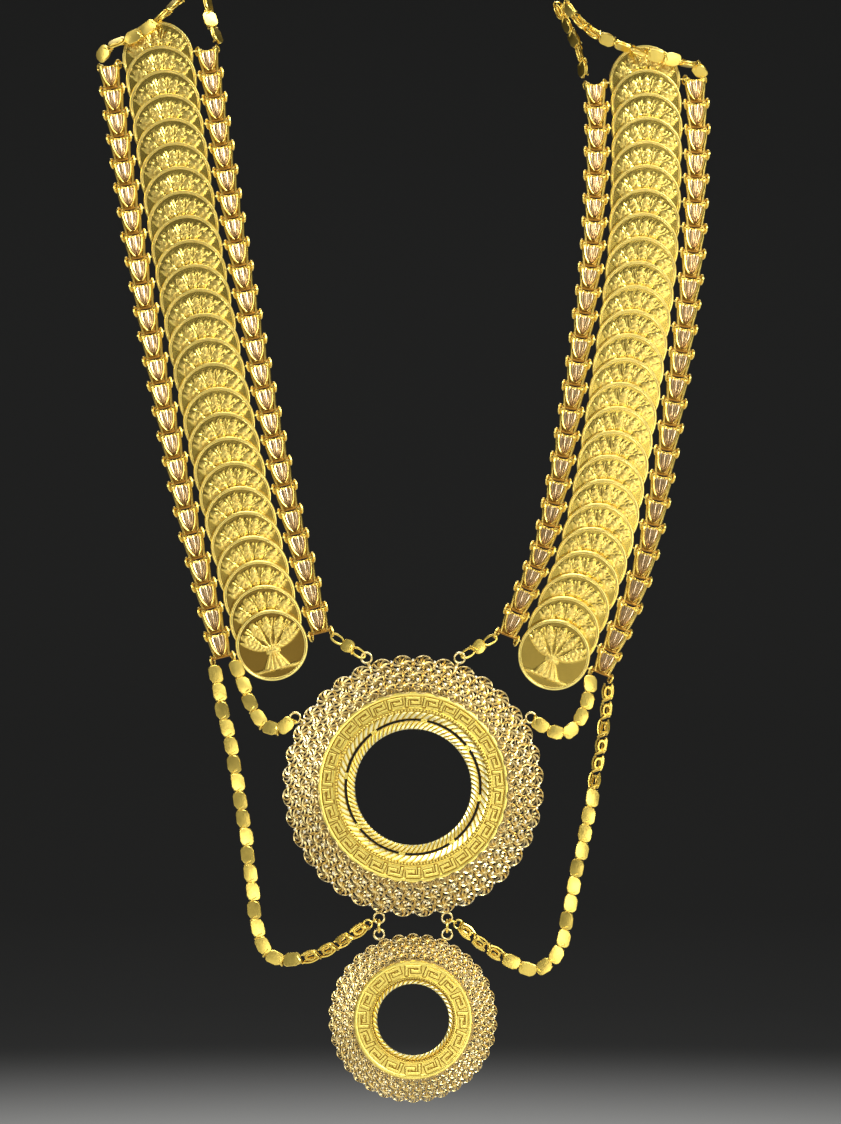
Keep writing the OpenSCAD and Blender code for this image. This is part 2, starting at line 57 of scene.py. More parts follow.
# Sizes and places repeat part.scad, in millimetres
CHEST_FRONT, CHEST_FLAT_Z, CHEST_CURVE = 128.0, -290.0, 0.0004
LEFT_STRIP = [(-75.6, -64.3), (-64.4, -134), (-52, -196), (-39.5, -246.6)]
RIGHT_STRIP = [(75.6, -71.9), (76, -92), (73.1, -137.9), (60.9, -211.4), (46.8, -249.5)]
COINS, COIN_R, COIN_HALF, COIN_RIM, FIELD_DROP, COIN_GAP = 25, 11.025, 0.76, 0.9, 0.2, 0.2
BORDER_OFFSET, JOINT_FRONT, JOINT_DROP = 15.5, 0.3, 0.35
LOOP_SPREAD, LOOP_R, LOOP_WIRE, EYE_DROP = 3.1, 1.3, 0.25, 1.25
MEDALLION_X, LARGE_Z, MEDALLION_Y, SPREAD = 3.7, -289.6, -128.0, 10.4
LARGE_LOOP_R, LARGE_LOOP_AT, SMALL_LOOP_R, SMALL_LOOP_AT, LOOP_THICK = 1.6, 41.6, 1.55, 27.6, 0.35
HANG_R, HANG_WIRE, GAP = 1.8, 0.4, 0.1
SIDE_R, SIDE_WIRE, END_R, END_WIRE, SIDE_ANGLE = 1.2, 0.25, 1.3, 0.27, 60.0
LINK_WIRE, LONG_LINKS, INNER_LINKS, SHORT_LINKS = 0.2, 22, 6, 3
LARGE_LOOP_ANGLES, LONG_LUG, SHORT_LUG = (30, 70, 110, 150), 4.5, 2.2
LOW_LOOP_Z = LARGE_Z - math.sqrt(LARGE_LOOP_AT**2 - SPREAD**2)
HANG_Z = LOW_LOOP_Z - (LARGE_LOOP_R - LOOP_THICK - HANG_WIRE - GAP) - HANG_R
SMALL_LOOP_Z = HANG_Z - HANG_R - (SMALL_LOOP_R - LOOP_THICK - HANG_WIRE - GAP)
SMALL_Z = SMALL_LOOP_Z - math.sqrt(SMALL_LOOP_AT**2 - SPREAD**2)
LEFT_LONG = [(-54.4, -267.1), (-51.7, -278.1), (-49.9, -289.4), (-48, -300.4), (-46.5, -312.4), (-45, -324.6),
             (-43.6, -335), (-39.4, -342.2), (-30.9, -342.6), (-21.7, -339.4)]
RIGHT_LONG = [(62.6, -266.4), (61.4, -275.6), (59.5, -285.7), (57.7, -296.4), (55.7, -306.5), (53.2, -317.3),
              (51.1, -328), (48.6, -339.2), (42.4, -346), (33.4, -343), (25, -338.2)]
LEFT_INNER = [(-47.7, -260), (-43.3, -269.6), (-39, -273.2)]
RIGHT_INNER = [(57.4, -262), (54.4, -270), (48.4, -274.2)]
LEFT_MEET, RIGHT_MEET = (-63.3, -103, -40), (47.7, -103.6, -43)
NAPE = [(61, -58, -17.5), (60.1, -47.5, -13.6), (57.3, -37.3, -10.2), (52.8, -27.8, -7.2),
        (46.7, -19.2, -4.8), (39.2, -11.7, -2.9), (30.5, -5.7, -1.5), (20.9, -1.2, -0.6), (14.4, 0.9, -0.1),
        (9.7, 1.8, 0)]
NECK_ROUTES = {
    "left_outer_neck_chain": [(-93.6, -108.2, -65.4), (-92.4, -109.2, -62.8), (-89.2, -110.6, -61),
                              (-84.8, -111.6, -59.8), (-79.9, -112, -57.6), (-75.6, -111.6, -54.2),
                              (-71.6, -109.6, -50.2), (-68, -107.2, -46), (-65.8, -105.6, -42.8)],
    "left_inner_neck_chain": [(-57.3, -107.4, -60.1), (-58.8, -105, -55), (-60.4, -102.6, -50),
                              (-61.6, -101.2, -44.6)],
    "right_inner_neck_chain": [(57.1, -108.9, -70.8), (56.8, -107.6, -66.2), (55.6, -106, -61.2),
                               (53.2, -104.6, -56), (50.8, -102.8, -50.6), (49, -101.6, -46.8)],
    "right_outer_neck_chain": [(94.1, -109.2, -70.2), (93.4, -110, -67.8), (90.4, -111.4, -66.6),
                               (83.8, -113.2, -65.6), (76.8, -113.8, -63.8), (70, -113.4, -61.6),
                               (63.8, -112, -59.2), (58.6, -110.4, -55.8), (54.6, -108.8, -51.8),
                               (51.2, -107, -47.4)],
    "left_nape_chain": [(-63.5, -101, -39), (-63.6, -92, -34), (-63.2, -82, -29), (-62.3, -70, -22.8),
                        *[(-x, y, z) for x, y, z in NAPE]],
    "right_nape_chain": [(48.8, -101.4, -41.6), (52, -95, -37.4), (56.4, -84, -31.2), (59.6, -71, -23.8),
                         *NAPE],
}


# Shapes
class Shape:
    """Points in millimetres, their quads and triangles, and a tone for each point."""

    def __init__(self, points, quads=None, tris=None, tone=0.0):
        self.points = np.asarray(points, float).reshape(-1, 3)
        self.quads = np.zeros((0, 4), int) if quads is None else np.asarray(quads, int).reshape(-1, 4)
        self.tris = np.zeros((0, 3), int) if tris is None else np.asarray(tris, int).reshape(-1, 3)
        self.tone = np.broadcast_to(np.asarray(tone, float).reshape(-1), (len(self.points),)).copy()


def together(shapes):
    """Several shapes as one: the points in a row, and the faces counted on."""
    starts = np.cumsum([0] + [len(s.points) for s in shapes])
    return Shape(
        np.concatenate([s.points for s in shapes]),
        np.concatenate([s.quads + k for s, k in zip(shapes, starts)]),
        np.concatenate([s.tris + k for s, k in zip(shapes, starts)]),
        np.concatenate([s.tone for s in shapes]),
    )


def outward(s):
    """Turns the faces over where the volume, a sum of a . (b x c) / 6 over the triangles, is below zero."""
    t = np.concatenate([s.tris, s.quads[:, [0, 1, 2]], s.quads[:, [0, 2, 3]]])
    a, b, c = (s.points[t[:, k]] - s.points.mean(0) for k in range(3))
    if np.einsum("ij,ij->", a, np.cross(b, c)) < 0:
        s.quads, s.tris = s.quads[:, ::-1], s.tris[:, ::-1]
    return s


def placed(s, turns, places=(0, 0, 0)):
    """The shape once for each turn and place: turn * point + place."""
    turns = np.asarray(turns, float).reshape(-1, 3, 3)
    places = np.asarray(places, float).reshape(-1, 3)
    k = max(len(turns), len(places))
    turns, places = np.broadcast_to(turns, (k, 3, 3)), np.broadcast_to(places, (k, 3))
    points = np.einsum("kij,nj->kni", turns, s.points) + places[:, None]
    step = (np.arange(k) * len(s.points))[:, None, None]
    return Shape(points, s.quads[None] + step, s.tris[None] + step, np.tile(s.tone, k))


def moved(s, x=0.0, y=0.0, z=0.0):
    """The shape shifted by (x, y, z)."""
    return placed(s, np.eye(3), (x, y, z))


def circle(n):
    """n equal angles round a circle."""
    return np.linspace(0, 2 * np.pi, n, endpoint=False)


def grid_quads(nu, nv, loop_u=False, loop_v=False):
    """Quads of a grid of nu by nv points, numbered u * nv + v; a loop joins its last line to its first."""
    u = np.arange(nu if loop_u else nu - 1)[:, None]
    v = np.arange(nv if loop_v else nv - 1)[None, :]
    w, x = (u + 1) % nu, (v + 1) % nv
    return np.stack([u * nv + v, u * nv + x, w * nv + x, w * nv + v], -1).reshape(-1, 4)


def loft(sections, tone=0.0, closed=False):
    """A skin over n outlines of m points each, with a fan over each end, or joined to a loop if closed."""
    sections = np.asarray(sections, float)
    n, m = sections.shape[:2]
    tone = np.broadcast_to(np.asarray(tone, float), (n, m))
    quads = grid_quads(n, m, closed, True)
    if closed:
        return outward(Shape(sections, quads, None, tone))
    k = np.arange(m)
    j, last = (k + 1) % m, (n - 1) * m
    tris = np.concatenate([np.stack([j, k, np.full(m, n * m)], -1),
                           np.stack([last + k, last + j, np.full(m, n * m + 1)], -1)])
    points = np.concatenate([sections.reshape(-1, 3), sections[[0, -1]].mean(1)])
    return outward(Shape(points, quads, tris, np.concatenate([tone.reshape(-1), tone[[0, -1]].mean(1)])))


def wire(path, r, sides=6, closed=False, ref=(0, 1, 0), tone=0.0):
    """A round wire: path + r (cos k a + sin k b), where a = way x ref and b = a x way."""
    path = np.asarray(path, float)
    if closed:
        way = np.roll(path, -1, 0) - np.roll(path, 1, 0)
    else:
        way = np.gradient(path, axis=0)
    way /= np.linalg.norm(way, axis=1)[:, None]
    a = np.cross(way, ref)
    a /= np.linalg.norm(a, axis=1)[:, None]
    b = np.cross(a, way)
    k = circle(sides)
    r = np.broadcast_to(np.asarray(r, float), (len(path),))[:, None, None]
    sections = path[:, None] + r * (np.cos(k)[:, None] * a[:, None] + np.sin(k)[:, None] * b[:, None])
    return loft(sections, tone, closed)


def ring(r, thick, n=20, sides=6, tone=0.0):
    """A ring that faces the viewer: (r cos a, 0, r sin a) with a round wire."""
    a = circle(n)
    return wire(np.stack([r * np.cos(a), 0 * a, r * np.sin(a)], 1), thick, sides, True, tone=tone)


def turn(axis, deg):
    """Turn about the X, Y or Z axis, also for an array of angles."""
    c, s = np.cos(np.radians(deg)), np.sin(np.radians(deg))
    i, j = {"X": (1, 2), "Y": (2, 0), "Z": (0, 1)}[axis]
    m = np.zeros(np.shape(deg) + (3, 3)) + np.eye(3)
    m[..., i, i] = m[..., j, j] = c
    m[..., i, j], m[..., j, i] = -s, s
    return m


def slab(x, z, steps):
    """An outline (x, z) drawn in layers, each a share k of its size and at a height y."""
    return loft([np.stack([k * x, np.full(len(x), y), k * z], 1) for k, y in steps])


def plate(half_w, half_l, cut, back, front, crown=0.0, sides=24):
    """An eight-sided plate: its edge is at 1 / (sum of |sin/w|^p, |cos/l|^p and the corner line^p)^(1/p)."""
    a = circle(sides)
    s, c, p = np.abs(np.sin(a)), np.abs(np.cos(a)), 12.0
    edge = ((s / half_w) ** p + (c / half_l) ** p + ((s + c) / (half_w + half_l - cut)) ** p) ** (-1 / p)
    return slab(edge * np.sin(a), edge * np.cos(a), [
        (0.3, back), (0.94, back), (1, back - 0.08), (1, front + 0.12), (0.93, front),
        (0.5, front - 0.75 * crown), (0.2, front - crown)])


def tablet(half_w, half_l, cut, nick, back, front):
    """A plate, (w, l) half wide and long, with two opposite corners cut by one length and two by another.
    Each cut has a point in its middle, a share of the cut from both sides. Its edges are bevelled."""
    share = 0.37
    corner = np.array([
        (half_w, half_l - cut), (half_w - share * cut, half_l - share * cut), (half_w - cut, half_l),
        (nick - half_w, half_l), (share * nick - half_w, half_l - share * nick), (-half_w, half_l - nick)])
    return slab(*np.concatenate([corner, -corner]).T, [
        (0.3, back), (0.95, back), (1, back - 0.12), (1, front + 0.18), (0.94, front + 0.03),
        (0.55, front - 0.07), (0.2, front - 0.1)])


def lathe(profile, n, tone=1.0, cuts=0, depth=0.0, low=0.0, lean=0.0):
    """A closed profile of (radius, height to the viewer) turned round Y, at the angle a - lean (r - first r).
    What stands above low is cut with saw teeth. With p the part of cuts a / 2 pi past a whole number, the
    share cut off is p / 0.75 up to 0.75 and falls back to 0 at 1, and the tone falls with its square, which
    paints shade into the cuts."""
    profile = np.asarray(profile, float)
    a = circle(n)[:, None]
    r, f = (np.broadcast_to(profile[:, k], (n, len(profile))) for k in (0, 1))
    p = (cuts * a / (2 * np.pi)) % 1
    share = (f > low) * (cuts > 0) * np.where(p < 0.75, p / 0.75, (1 - p) / 0.25)
    a, f = a - lean * (r - r[0, 0]), f - depth * share
    return loft(np.stack([r * np.cos(a), -f, r * np.sin(a)], -1), tone * (1 - share**2), True)


# Places
def on_chest(points):
    """(x, z) on the chest: y = curve * max(0, z - flat)^2 - front."""
    p = np.asarray(points, float).reshape(-1, 2)
    y = CHEST_CURVE * np.maximum(0, p[:, 1] - CHEST_FLAT_Z) ** 2 - CHEST_FRONT
    return np.stack([p[:, 0], y, p[:, 1]], 1)


def equal_steps(points, n):
    """n equal steps along 0.5 (2b + (c - a) t + (2a - 5b + 4c - d) t^2 + (3b - a - 3c + d) t^3)."""
    p = np.asarray(points, float)
    e = np.vstack([2 * p[0] - p[1], p, 2 * p[-1] - p[-2]])
    s = np.linspace(0, len(p) - 1, 24 * (len(p) - 1) + 1)
    i = np.minimum(s.astype(int), len(p) - 2)
    t = (s - i)[:, None]
    a, b, c, d = e[i], e[i + 1], e[i + 2], e[i + 3]
    q = 0.5 * (2 * b + (c - a) * t + (2 * a - 5 * b + 4 * c - d) * t**2 + (3 * b - a - 3 * c + d) * t**3)
    l = np.concatenate([[0], np.cumsum(np.linalg.norm(np.diff(q, axis=0), axis=1))])
    at = np.linspace(0, l[-1], n + 1)
    return np.stack([np.interp(at, l, q[:, k]) for k in range(3)], 1)


def unit(v):
    """v / |v|."""
    v = np.asarray(v, float)
    return v / np.linalg.norm(v, axis=-1, keepdims=True)


def hang_turns(ways):
    """Turn about Y after a lean about X, which carry -Z onto each way."""
    w = unit(np.atleast_2d(ways))
    lean, swing = np.arcsin(w[:, 1]), np.arctan2(-w[:, 0], -w[:, 2])
    return turn("Y", np.degrees(swing)) @ turn("X", np.degrees(lean))


def strip_ways(c):
    """Direction of the strip at each coin: the next coin minus the one before."""
    i = np.arange(len(c))
    return c[np.minimum(i + 1, len(c) - 1)] - c[np.maximum(i - 1, 0)]


def joints(c, side):
    """Joints of the chain beside a strip: c + side * offset * across + front + drop."""
    ways = strip_ways(c)
    turns = hang_turns(ways)
    return c + side * BORDER_OFFSET * turns[:, :, 0] - JOINT_FRONT * turns[:, :, 1] + JOINT_DROP * unit(ways)


def loop_hook(c, side, loop_side):
    """Lowest point of a side loop of a chain's last link."""
    j = joints(c, side)
    d = j[-1] - j[-2]
    return j[-1] + loop_side * LOOP_SPREAD * hang_turns(d)[0, :, 0] + LOOP_R * unit(d)


def ring_hook(centre, r, ring_wire, link_wire, towards):
    """A point in a ring's hole, next to its rim, on the way to another point."""
    centre = np.asarray(centre, float)
    return centre + (r - ring_wire - link_wire - GAP) * unit(np.asarray(towards, float) - centre)


def loop_place(a):
    """Centre of a loop on the large medallion at the angle a."""
    x, z = LARGE_LOOP_AT * math.cos(math.radians(a)), LARGE_LOOP_AT * math.sin(math.radians(a))
    return np.array([MEDALLION_X + x, MEDALLION_Y, LARGE_Z + z])


left_coins = equal_steps(on_chest(LEFT_STRIP), COINS - 1)
right_coins = equal_steps(on_chest(RIGHT_STRIP), COINS - 1)
side_out = LARGE_LOOP_R - LOOP_THICK - SIDE_WIRE - GAP + SIDE_R
end_out = side_out + SIDE_R - SIDE_WIRE - END_WIRE - GAP + END_R


def low_ring_place(side, out):
    """Centre of a ring beside the low loop of the large medallion, out along the side ring's direction."""
    low = np.array([MEDALLION_X + side * SPREAD, MEDALLION_Y, LOW_LOOP_Z])
    a = math.radians(SIDE_ANGLE)
    return low + out * np.array([side * math.sin(a), 0, -math.cos(a)])


def swag_path(coins, strip_side, line):
    """Joints of a long swag, from a strip's outer end to the end ring under the large medallion."""
    chest = on_chest(line)
    to = ring_hook(low_ring_place(strip_side, end_out), END_R, END_WIRE, LINK_WIRE, chest[-1])
    return equal_steps(np.vstack([loop_hook(coins, strip_side, strip_side), chest, to]), LONG_LINKS)


def inner_path(coins, strip_side, line, angle):
    """Joints of an inner swag, from a strip's outer chain to a loop of the large medallion."""
    chest = on_chest(line)
    to = ring_hook(loop_place(angle), LARGE_LOOP_R, LOOP_THICK, LINK_WIRE, chest[-1])
    return equal_steps(np.vstack([loop_hook(coins, strip_side, -strip_side), chest, to]), INNER_LINKS)


def short_path(coins, strip_side, angle):
    """Joints of a short chain, from a strip's inner chain straight to a loop of the large medallion."""
    a = loop_hook(coins, -strip_side, -strip_side)
    b = ring_hook(loop_place(angle), LARGE_LOOP_R, LOOP_THICK, LINK_WIRE, a)
    return a + (b - a) * np.linspace(0, 1, SHORT_LINKS + 1)[:, None]


# Coins
def bar(d, half, soft=1.6):
    """The height of a bar, at d from its middle line: soft - |d| / half, held between 0 and 1."""
    return np.clip(soft - np.abs(d) / half, 0, 1)


def dome(u, v):
    """sqrt(1 - u^2 - v^2), and 0 outside it."""
    return np.sqrt(np.clip(1 - u**2 - v**2, 0, 1))


def sheaf_relief(x, z):
    """Height of the wheat sheaf, 0 to 1: the highest of five ears, their stalks and awns, two leaves, a foot,
    a band and the ground. An ear is a dome at ((u - 6.9) / 3.1, v / 1.12) with grains cut in it, where u runs
    along it and v across it."""
    size, up = 1.1, 1.6
    x, z = x / size, z / size + up
    down = np.maximum(-z, 0)
    h = np.zeros(np.broadcast(x, z).shape)
    for a in (-52, -26, 0, 26, 52):
        s, c = math.sin(math.radians(a)), math.cos(math.radians(a))
        u, v = x * s + z * c, np.abs(x * c - z * s)
        grain = 0.25 + 0.75 * np.abs(np.sin(np.pi * (u + 0.8 * v) / 1.35))
        ear = dome((u - 6.9) / 3.1, v / 1.12) * grain
        stalk = bar(v, 0.28, 1.4) * (u > 0) * (u < 4)
        awn = bar(v - 1.25 - 0.2 * (u - 7), 0.22, 1.3) * (u > 6.2) * (u < 9.3)
        h = np.maximum.reduce([h, ear, 0.6 * stalk, 0.55 * awn])
    for side in (-1, 1):
        u, v = side * x - 4.6, z - 0.9 - 0.05 * (x * x)
        h = np.maximum(h, dome(u / 3.9, v / 0.9) * (0.35 + 0.65 * np.abs(np.cos(2.6 * u + 2 * v))))
    foot = (z < 0.2) * (z > -4.8) * bar(x, 0.75 + 0.42 * down, 1.5)
    folds = 0.3 + 0.7 * np.abs(np.cos(4.2 * x / (0.5 + 0.35 * down)))
    band, ground = bar(x, 1.3) * bar(z, 0.45), bar(x, 4.4) * bar(z + 5.1, 0.28)
    return np.clip(np.maximum.reduce([h, foot * folds, band, ground]), 0, 1)


def coin_disc(turns, radii, rise):
    """A coin on a round grid: radius by angle, the front raised by the relief, the back by a plain wreath."""
    a = np.radians(90 - np.asarray(turns, float))
    inner = COIN_R - COIN_RIM
    field = COIN_HALF - FIELD_DROP
    # The groove inside the rim has tone 0 and takes the field's darker colour: painted shade in the groove.
    edge = [(inner - 0.12, field, 0), (inner, COIN_HALF - 0.06, 2), (inner + 0.16, COIN_HALF - 0.06, 2),
            (inner + 0.24, COIN_HALF - 0.2, 0), (inner + 0.34, COIN_HALF - 0.12, 1.6),
            (inner + 0.46, COIN_HALF - 0.02, 2), (inner + 0.6, COIN_HALF, 2),
            (COIN_R - 0.16, COIN_HALF - 0.05, 2), (COIN_R, COIN_HALF - 0.24, 2)]
    back = [(COIN_R, 0.15 - COIN_HALF, 2), (COIN_R - 0.2, -COIN_HALF, 2), (inner, -COIN_HALF, 2),
            (inner - 0.2, -field, 0), (8.9, -field, 0), (8.2, -field - 0.12, 1), (7.1, -field - 0.12, 1),
            (6.5, -field, 0), (0.4, -field, 0)]
    r, f, tone = np.array([(r, field, 0) for r in radii] + edge + back, float).T[:, :, None]
    x, z = r * np.cos(a), r * np.sin(a)
    f, tone = f + 0 * x, tone + 0 * x
    n = len(radii)
    relief = sheaf_relief(x[:n], z[:n])
    f[:n] += rise * relief
    tone[:n] = np.clip(2.4 * relief - 0.2, 0, 1)
    return loft(np.stack([x, -f, z], -1), tone)


def coin_pin():
    """A plain wire from the coin's edge to each chain, with a round head at its end."""
    path = [(x, 0, 0) for x in (10.9, 11.6, 12.8, 12.86, 13.18, 13.2)]
    one = wire(path, [0.25, 0.25, 0.25, 0.42, 0.42, 0.2], 8, tone=2)
    return together([one, placed(one, turn("Y", 180))])


def coin_strip(c, rise, dark, most):
    """Overlapping coins, which lean by asin((thickness + gap) / pitch), with a fine grid where they show.
    From the coin numbered dark on, the field's tone falls in even steps from 0 to -most at the last: painted
    shade that darkens the fields of the lower coins."""
    tilt = math.degrees(math.asin((2 * COIN_HALF + COIN_GAP) / np.linalg.norm(c[1] - c[0])))
    turns = hang_turns(strip_ways(c)) @ turn("X", tilt)
    shown = 112
    fine = np.concatenate([np.linspace(-shown, shown, 69), np.linspace(shown, 360 - shown, 12)[1:-1]])
    upper = coin_disc(fine, np.linspace(1.2, 9.9, 22), rise)
    lowest = coin_disc(np.linspace(0, 360, 150, endpoint=False), np.linspace(0.35, 9.9, 34), rise)
    tones = -most * np.clip((np.arange(COINS) - dark) / (COINS - 1 - dark), 0, 1)
    parts = [placed(upper, turns[:-1], c[:-1]), placed(lowest, turns[-1:], c[-1:]),
             placed(coin_pin(), turns, c)]
    for part, at in zip(parts, (tones[:-1], tones[-1:])):
        part.tone = np.where(part.tone == 0, np.repeat(at, len(part.tone) // len(at)), part.tone)
    return together(parts)


# Tulip chains
def tulip_cup(l):
    """A round-ended cup. Half its width is w = 2.9 (1 - 0.985 t^2.2)^0.5 down its length t, with an outline
    of width o = min(0.95, 0.6 w) along its edge. Its height is a broken line over k, 0 at the middle and 1 at
    the edge, so x is k / 0.76 (w - o) up to k = 0.76, and w - o (1 - k) / 0.24 past it."""
    t = np.array([0, 0.04, 0.12, 0.25, 0.4, 0.55, 0.68, 0.79, 0.88, 0.94, 0.98, 1])[:, None]
    knots = np.array([0, 0.07, 0.2, 0.42, 0.5, 0.7, 0.76, 0.83, 0.92, 1.0])
    level = np.array([0.62, 0.4, 0.26, 0.78, 0.42, 0.66, 0.3, 0.84, 0.95, 0.5])
    # Tones across the cup: below 0 paints shade in the creases between facets, and 1 is the gold outline.
    painted_shade_and_outline = np.array([0, -0.2, -0.9, 0.05, -0.8, 0, -0.2, 1, 1, 1])
    k = np.concatenate([-knots[:0:-1], knots])
    w = 2.9 * (1 - 0.985 * t**2.2) ** 0.5
    o = np.minimum(0.95, 0.6 * w)
    x = np.where(np.abs(k) <= 0.76, k / 0.76 * (w - o), np.sign(k) * (w - o * (1 - np.abs(k)) / 0.24))
    h = np.concatenate([level[:0:-1], level])[None, :]
    lobe = 0.35 * np.sin(np.pi * np.minimum(1, 1.1 * np.abs(x) / 3))
    z = -0.35 - (l - 1.35) * t + (lobe - 0.2) * (1 - t) ** 4
    rise = np.clip(0.45 + 7 * t, 0, 1) * np.clip(0.55 + (1 - t) * 6, 0, 1)
    front = -0.8 - (h - 0.3) * rise
    back = np.stack([x, np.full_like(x, -0.45), z], -1)
    loops = np.concatenate([np.stack([x, front, z], -1), back[:, ::-1]], 1)
    tone = np.concatenate([np.tile(np.concatenate([painted_shade_and_outline[:0:-1], painted_shade_and_outline]), (len(t), 1)), np.ones(x.shape)], 1)
    tone[[0, 1, -2, -1]] = 1
    return loft(loops, tone)


def tulip_link(l):
    """A tulip cup on a rough plate painted dark as shade, with side wires, a cross wire painted dark as
    shade, two eyes and two side loops.
    """
    foot = l - 0.55
    t = np.linspace(0, 1, 7)
    parts = [tulip_cup(l)]
    ends = [(-0.95, 2.3), (-1.6, 2.5), (-foot / 2, 2.3), (-foot + 0.5, 1.9), (-foot, 1.8)]
    corners = ((-1, 0.3), (1, 0.3), (1, -0.1), (0.6, -0.25), (-0.6, -0.25), (-1, -0.1))
    # Tone 1.8 paints shade on the plate beside the cup, tone 2 on the cross wire, and 1.1 a little on the
    # side wires.
    parts.append(loft([[(k * w, y, z) for k, y in corners] for z, w in ends], 1.8))
    cross = [(x, -0.2, -foot) for x in (-3.25, -2.9, 0, 2.9, 3.25)]
    parts.append(wire(cross, [0.3, 0.42, 0.42, 0.42, 0.3], 8, tone=2))
    for s in (-1, 1):
        bow = -0.4 - 0.1 * np.sin(np.pi * t)
        side = np.stack([s * (2.8 - 0.75 * t**1.5), bow, -0.9 - (foot - 0.9) * t], 1)
        parts.append(wire(side, 0.42, 6, tone=1.1))
        parts.append(moved(ring(0.62, 0.36, 12, 6, tone=1), s * 2.35, -0.95, -0.5))
        parts.append(placed(ring(1.4, 0.38, 16, 5, tone=1), turn("Z", -s * 70), (s * 3.2, 0.0, -l - 0.05)))
    return together(parts)


# Flat link chains
def link_wires(l):
    """The wires behind a plate: two at each side from end to end, and a slanting loop at the lower joint."""
    t = np.linspace(0, 1, 7)
    z = -0.35 - (l - 0.7) * t
    bow = np.sin(np.pi * t)
    a = circle(18)
    u, v = np.cos(a), np.sin(a)
    parts = [wire(np.stack([1.45 * u, -0.4 + 0.95 * v, 0.35 - l + 0.75 * u - 0.35 * v], 1), 0.27, 5, True)]
    for s in (-1, 1):
        parts.append(wire(np.stack([s * (1.15 + 0.55 * bow), -0.45 + 0.2 * bow, z], 1), 0.3, 5))
        parts.append(wire(np.stack([s * (1.3 - 0.9 * bow), 0.25 - 0.15 * bow, z], 1), 0.27, 5))
    return parts


def plated_link(l):
    """A flat plate with cut corners over its wires."""
    body = moved(tablet(2.05, (l - 0.1) / 2, 1.6, 1.0, -0.8, -1.35), 0, 0, -l / 2)
    return together(link_wires(l) + [body])


def wire_link(l):
    """A link seen from its side: its wires round an open eye, and the plate's edge."""
    eye = placed(ring(1.05, 0.32, 16, 6), np.diag([1, 1, 1.45]), (0.1, -0.75, -l / 2 - 0.3))
    edge = moved(plate(0.45, (l - 0.5) / 2, 0.3, 0.4, -0.7), 1.25, 0, -l / 2)
    return together(link_wires(l) + [eye, edge])


def open_link(l):
    """A long oval of thick wire: (w sin a, 0, h |cos a|^0.8 with the sign of cos a)."""
    a = circle(28)
    half, c = l / 2 + 0.25, np.cos(a)
    path = np.stack([1.15 * np.sin(a), 0 * a, half * np.sign(c) * np.abs(c) ** 0.8 - l / 2], 1)
    return wire(path, 0.33, 7, True)


def link_chain(j, kinds, spins):
    """Links through the joints j, each stretched along Z to its own length. Kinds gives the maker of each,
    and spins its turn about its own length."""
    ways = np.diff(j, axis=0)
    l = np.linalg.norm(ways, axis=1)
    turns = hang_turns(ways) @ turn("Z", spins)
    turns[:, :, 2] *= (l / l.mean())[:, None]
    parts = []
    for kind in dict.fromkeys(kinds):
        on = np.array([k is kind for k in kinds])
        parts.append(placed(kind(l.mean()), turns[on], j[:-1][on]))
    return together(parts)


def neck_chain(route, pitch, spin, twist):
    """Plated links along a route, the one numbered k turned by spin + twist sin(1.9 k) + 9 k degrees."""
    way = np.linalg.norm(np.diff(np.array(route, float), axis=0), axis=1).sum()
    n = max(1, round(float(way) / pitch))
    j = equal_steps(route, n)
    k = np.arange(n)
    return link_chain(j, [plated_link] * n, spin + twist * np.sin(1.9 * k) + 9 * k)


# Medallions
def rosette(r, spokes):
    """A wire ring round curved spokes, which run at (u, angle + 38 u^1.4), with u from the hub to the ring.
    The tone is 1 along the front of each wire and falls to 0 behind it, which paints shade on the wires'
    sides and backs."""
    front = (0.3, 0, 0.3, 1)
    rim = ring(0.92 * r, 0.08 * r, 18, 4, front)
    u = np.linspace(0.08, 1, 6)
    a, at = np.radians(38) * u**1.4, 0.92 * r * u
    spoke = wire(np.stack([at * np.sin(a), -0.12 * np.sin(np.pi * u), at * np.cos(a)], 1),
                 r * (0.088 + 0.045 * np.sin(np.pi * u)), 4, tone=front)
    hub = plate(0.17 * r, 0.17 * r, 0.1 * r, 0.12, -0.32, 0.08, 6)
    hub.tone[:] = 1
    return together([rim, placed(spoke, turn("Y", np.arange(spokes) * 360 / spokes)), hub])


def cone_turns(angles, slope):
    """Turns of pieces that lie on the border's cone at each angle round it, tipped outwards by slope."""
    return turn("Y", 90 - np.asarray(angles, float)) @ turn("X", -slope)


def round_places(angles, r, f):
    """(r cos a, -f, r sin a)."""
    a = np.radians(np.asarray(angles, float))
    return np.stack([r * np.cos(a), np.full(len(a), -float(f)), r * np.sin(a)], 1)


def blob(r):
    """A flattened drop of solder, of tone 2."""
    drop = plate(r, r, 0.6 * r, 0.15, -0.35, 0.2, 6)
    drop.tone[:] = 2
    return drop


def filigree(spokes, rim_in, rim_out, rim_f, r_out, count, rows, drops):
    """Rows of rosettes on the cone f = rim_f + (r - rim_out) * fall, with drops of solder and a rim inside.
    A row gives its radius, its rosettes' radius, its turn as a share of a step, and its lift, and a row of
    drops gives the first three."""
    fall = (-0.3 - rim_f) / (r_out + 0.5 - rim_out)
    slope = math.degrees(math.atan(-fall))
    laid = [(rosette(r, spokes), at, phase, 0.45 + lift) for at, r, phase, lift in rows]
    laid += [(blob(r), at, phase, 0.55) for at, r, phase in drops]
    parts = []
    for shape, at, phase, lift in laid:
        angles = (np.arange(count) + phase) * 360 / count
        places = round_places(angles, at, rim_f + (at - rim_out) * fall + lift)
        parts.append(placed(shape, cone_turns(angles, slope), places))
    top = rim_f + 0.7
    # Tone 0.3 paints shade on the rim inside the filigree.
    parts.append(lathe([(rim_in, rim_f), (rim_out, rim_f), (rim_out, top), (rim_in, top)], 96, 0.3))
    return parts


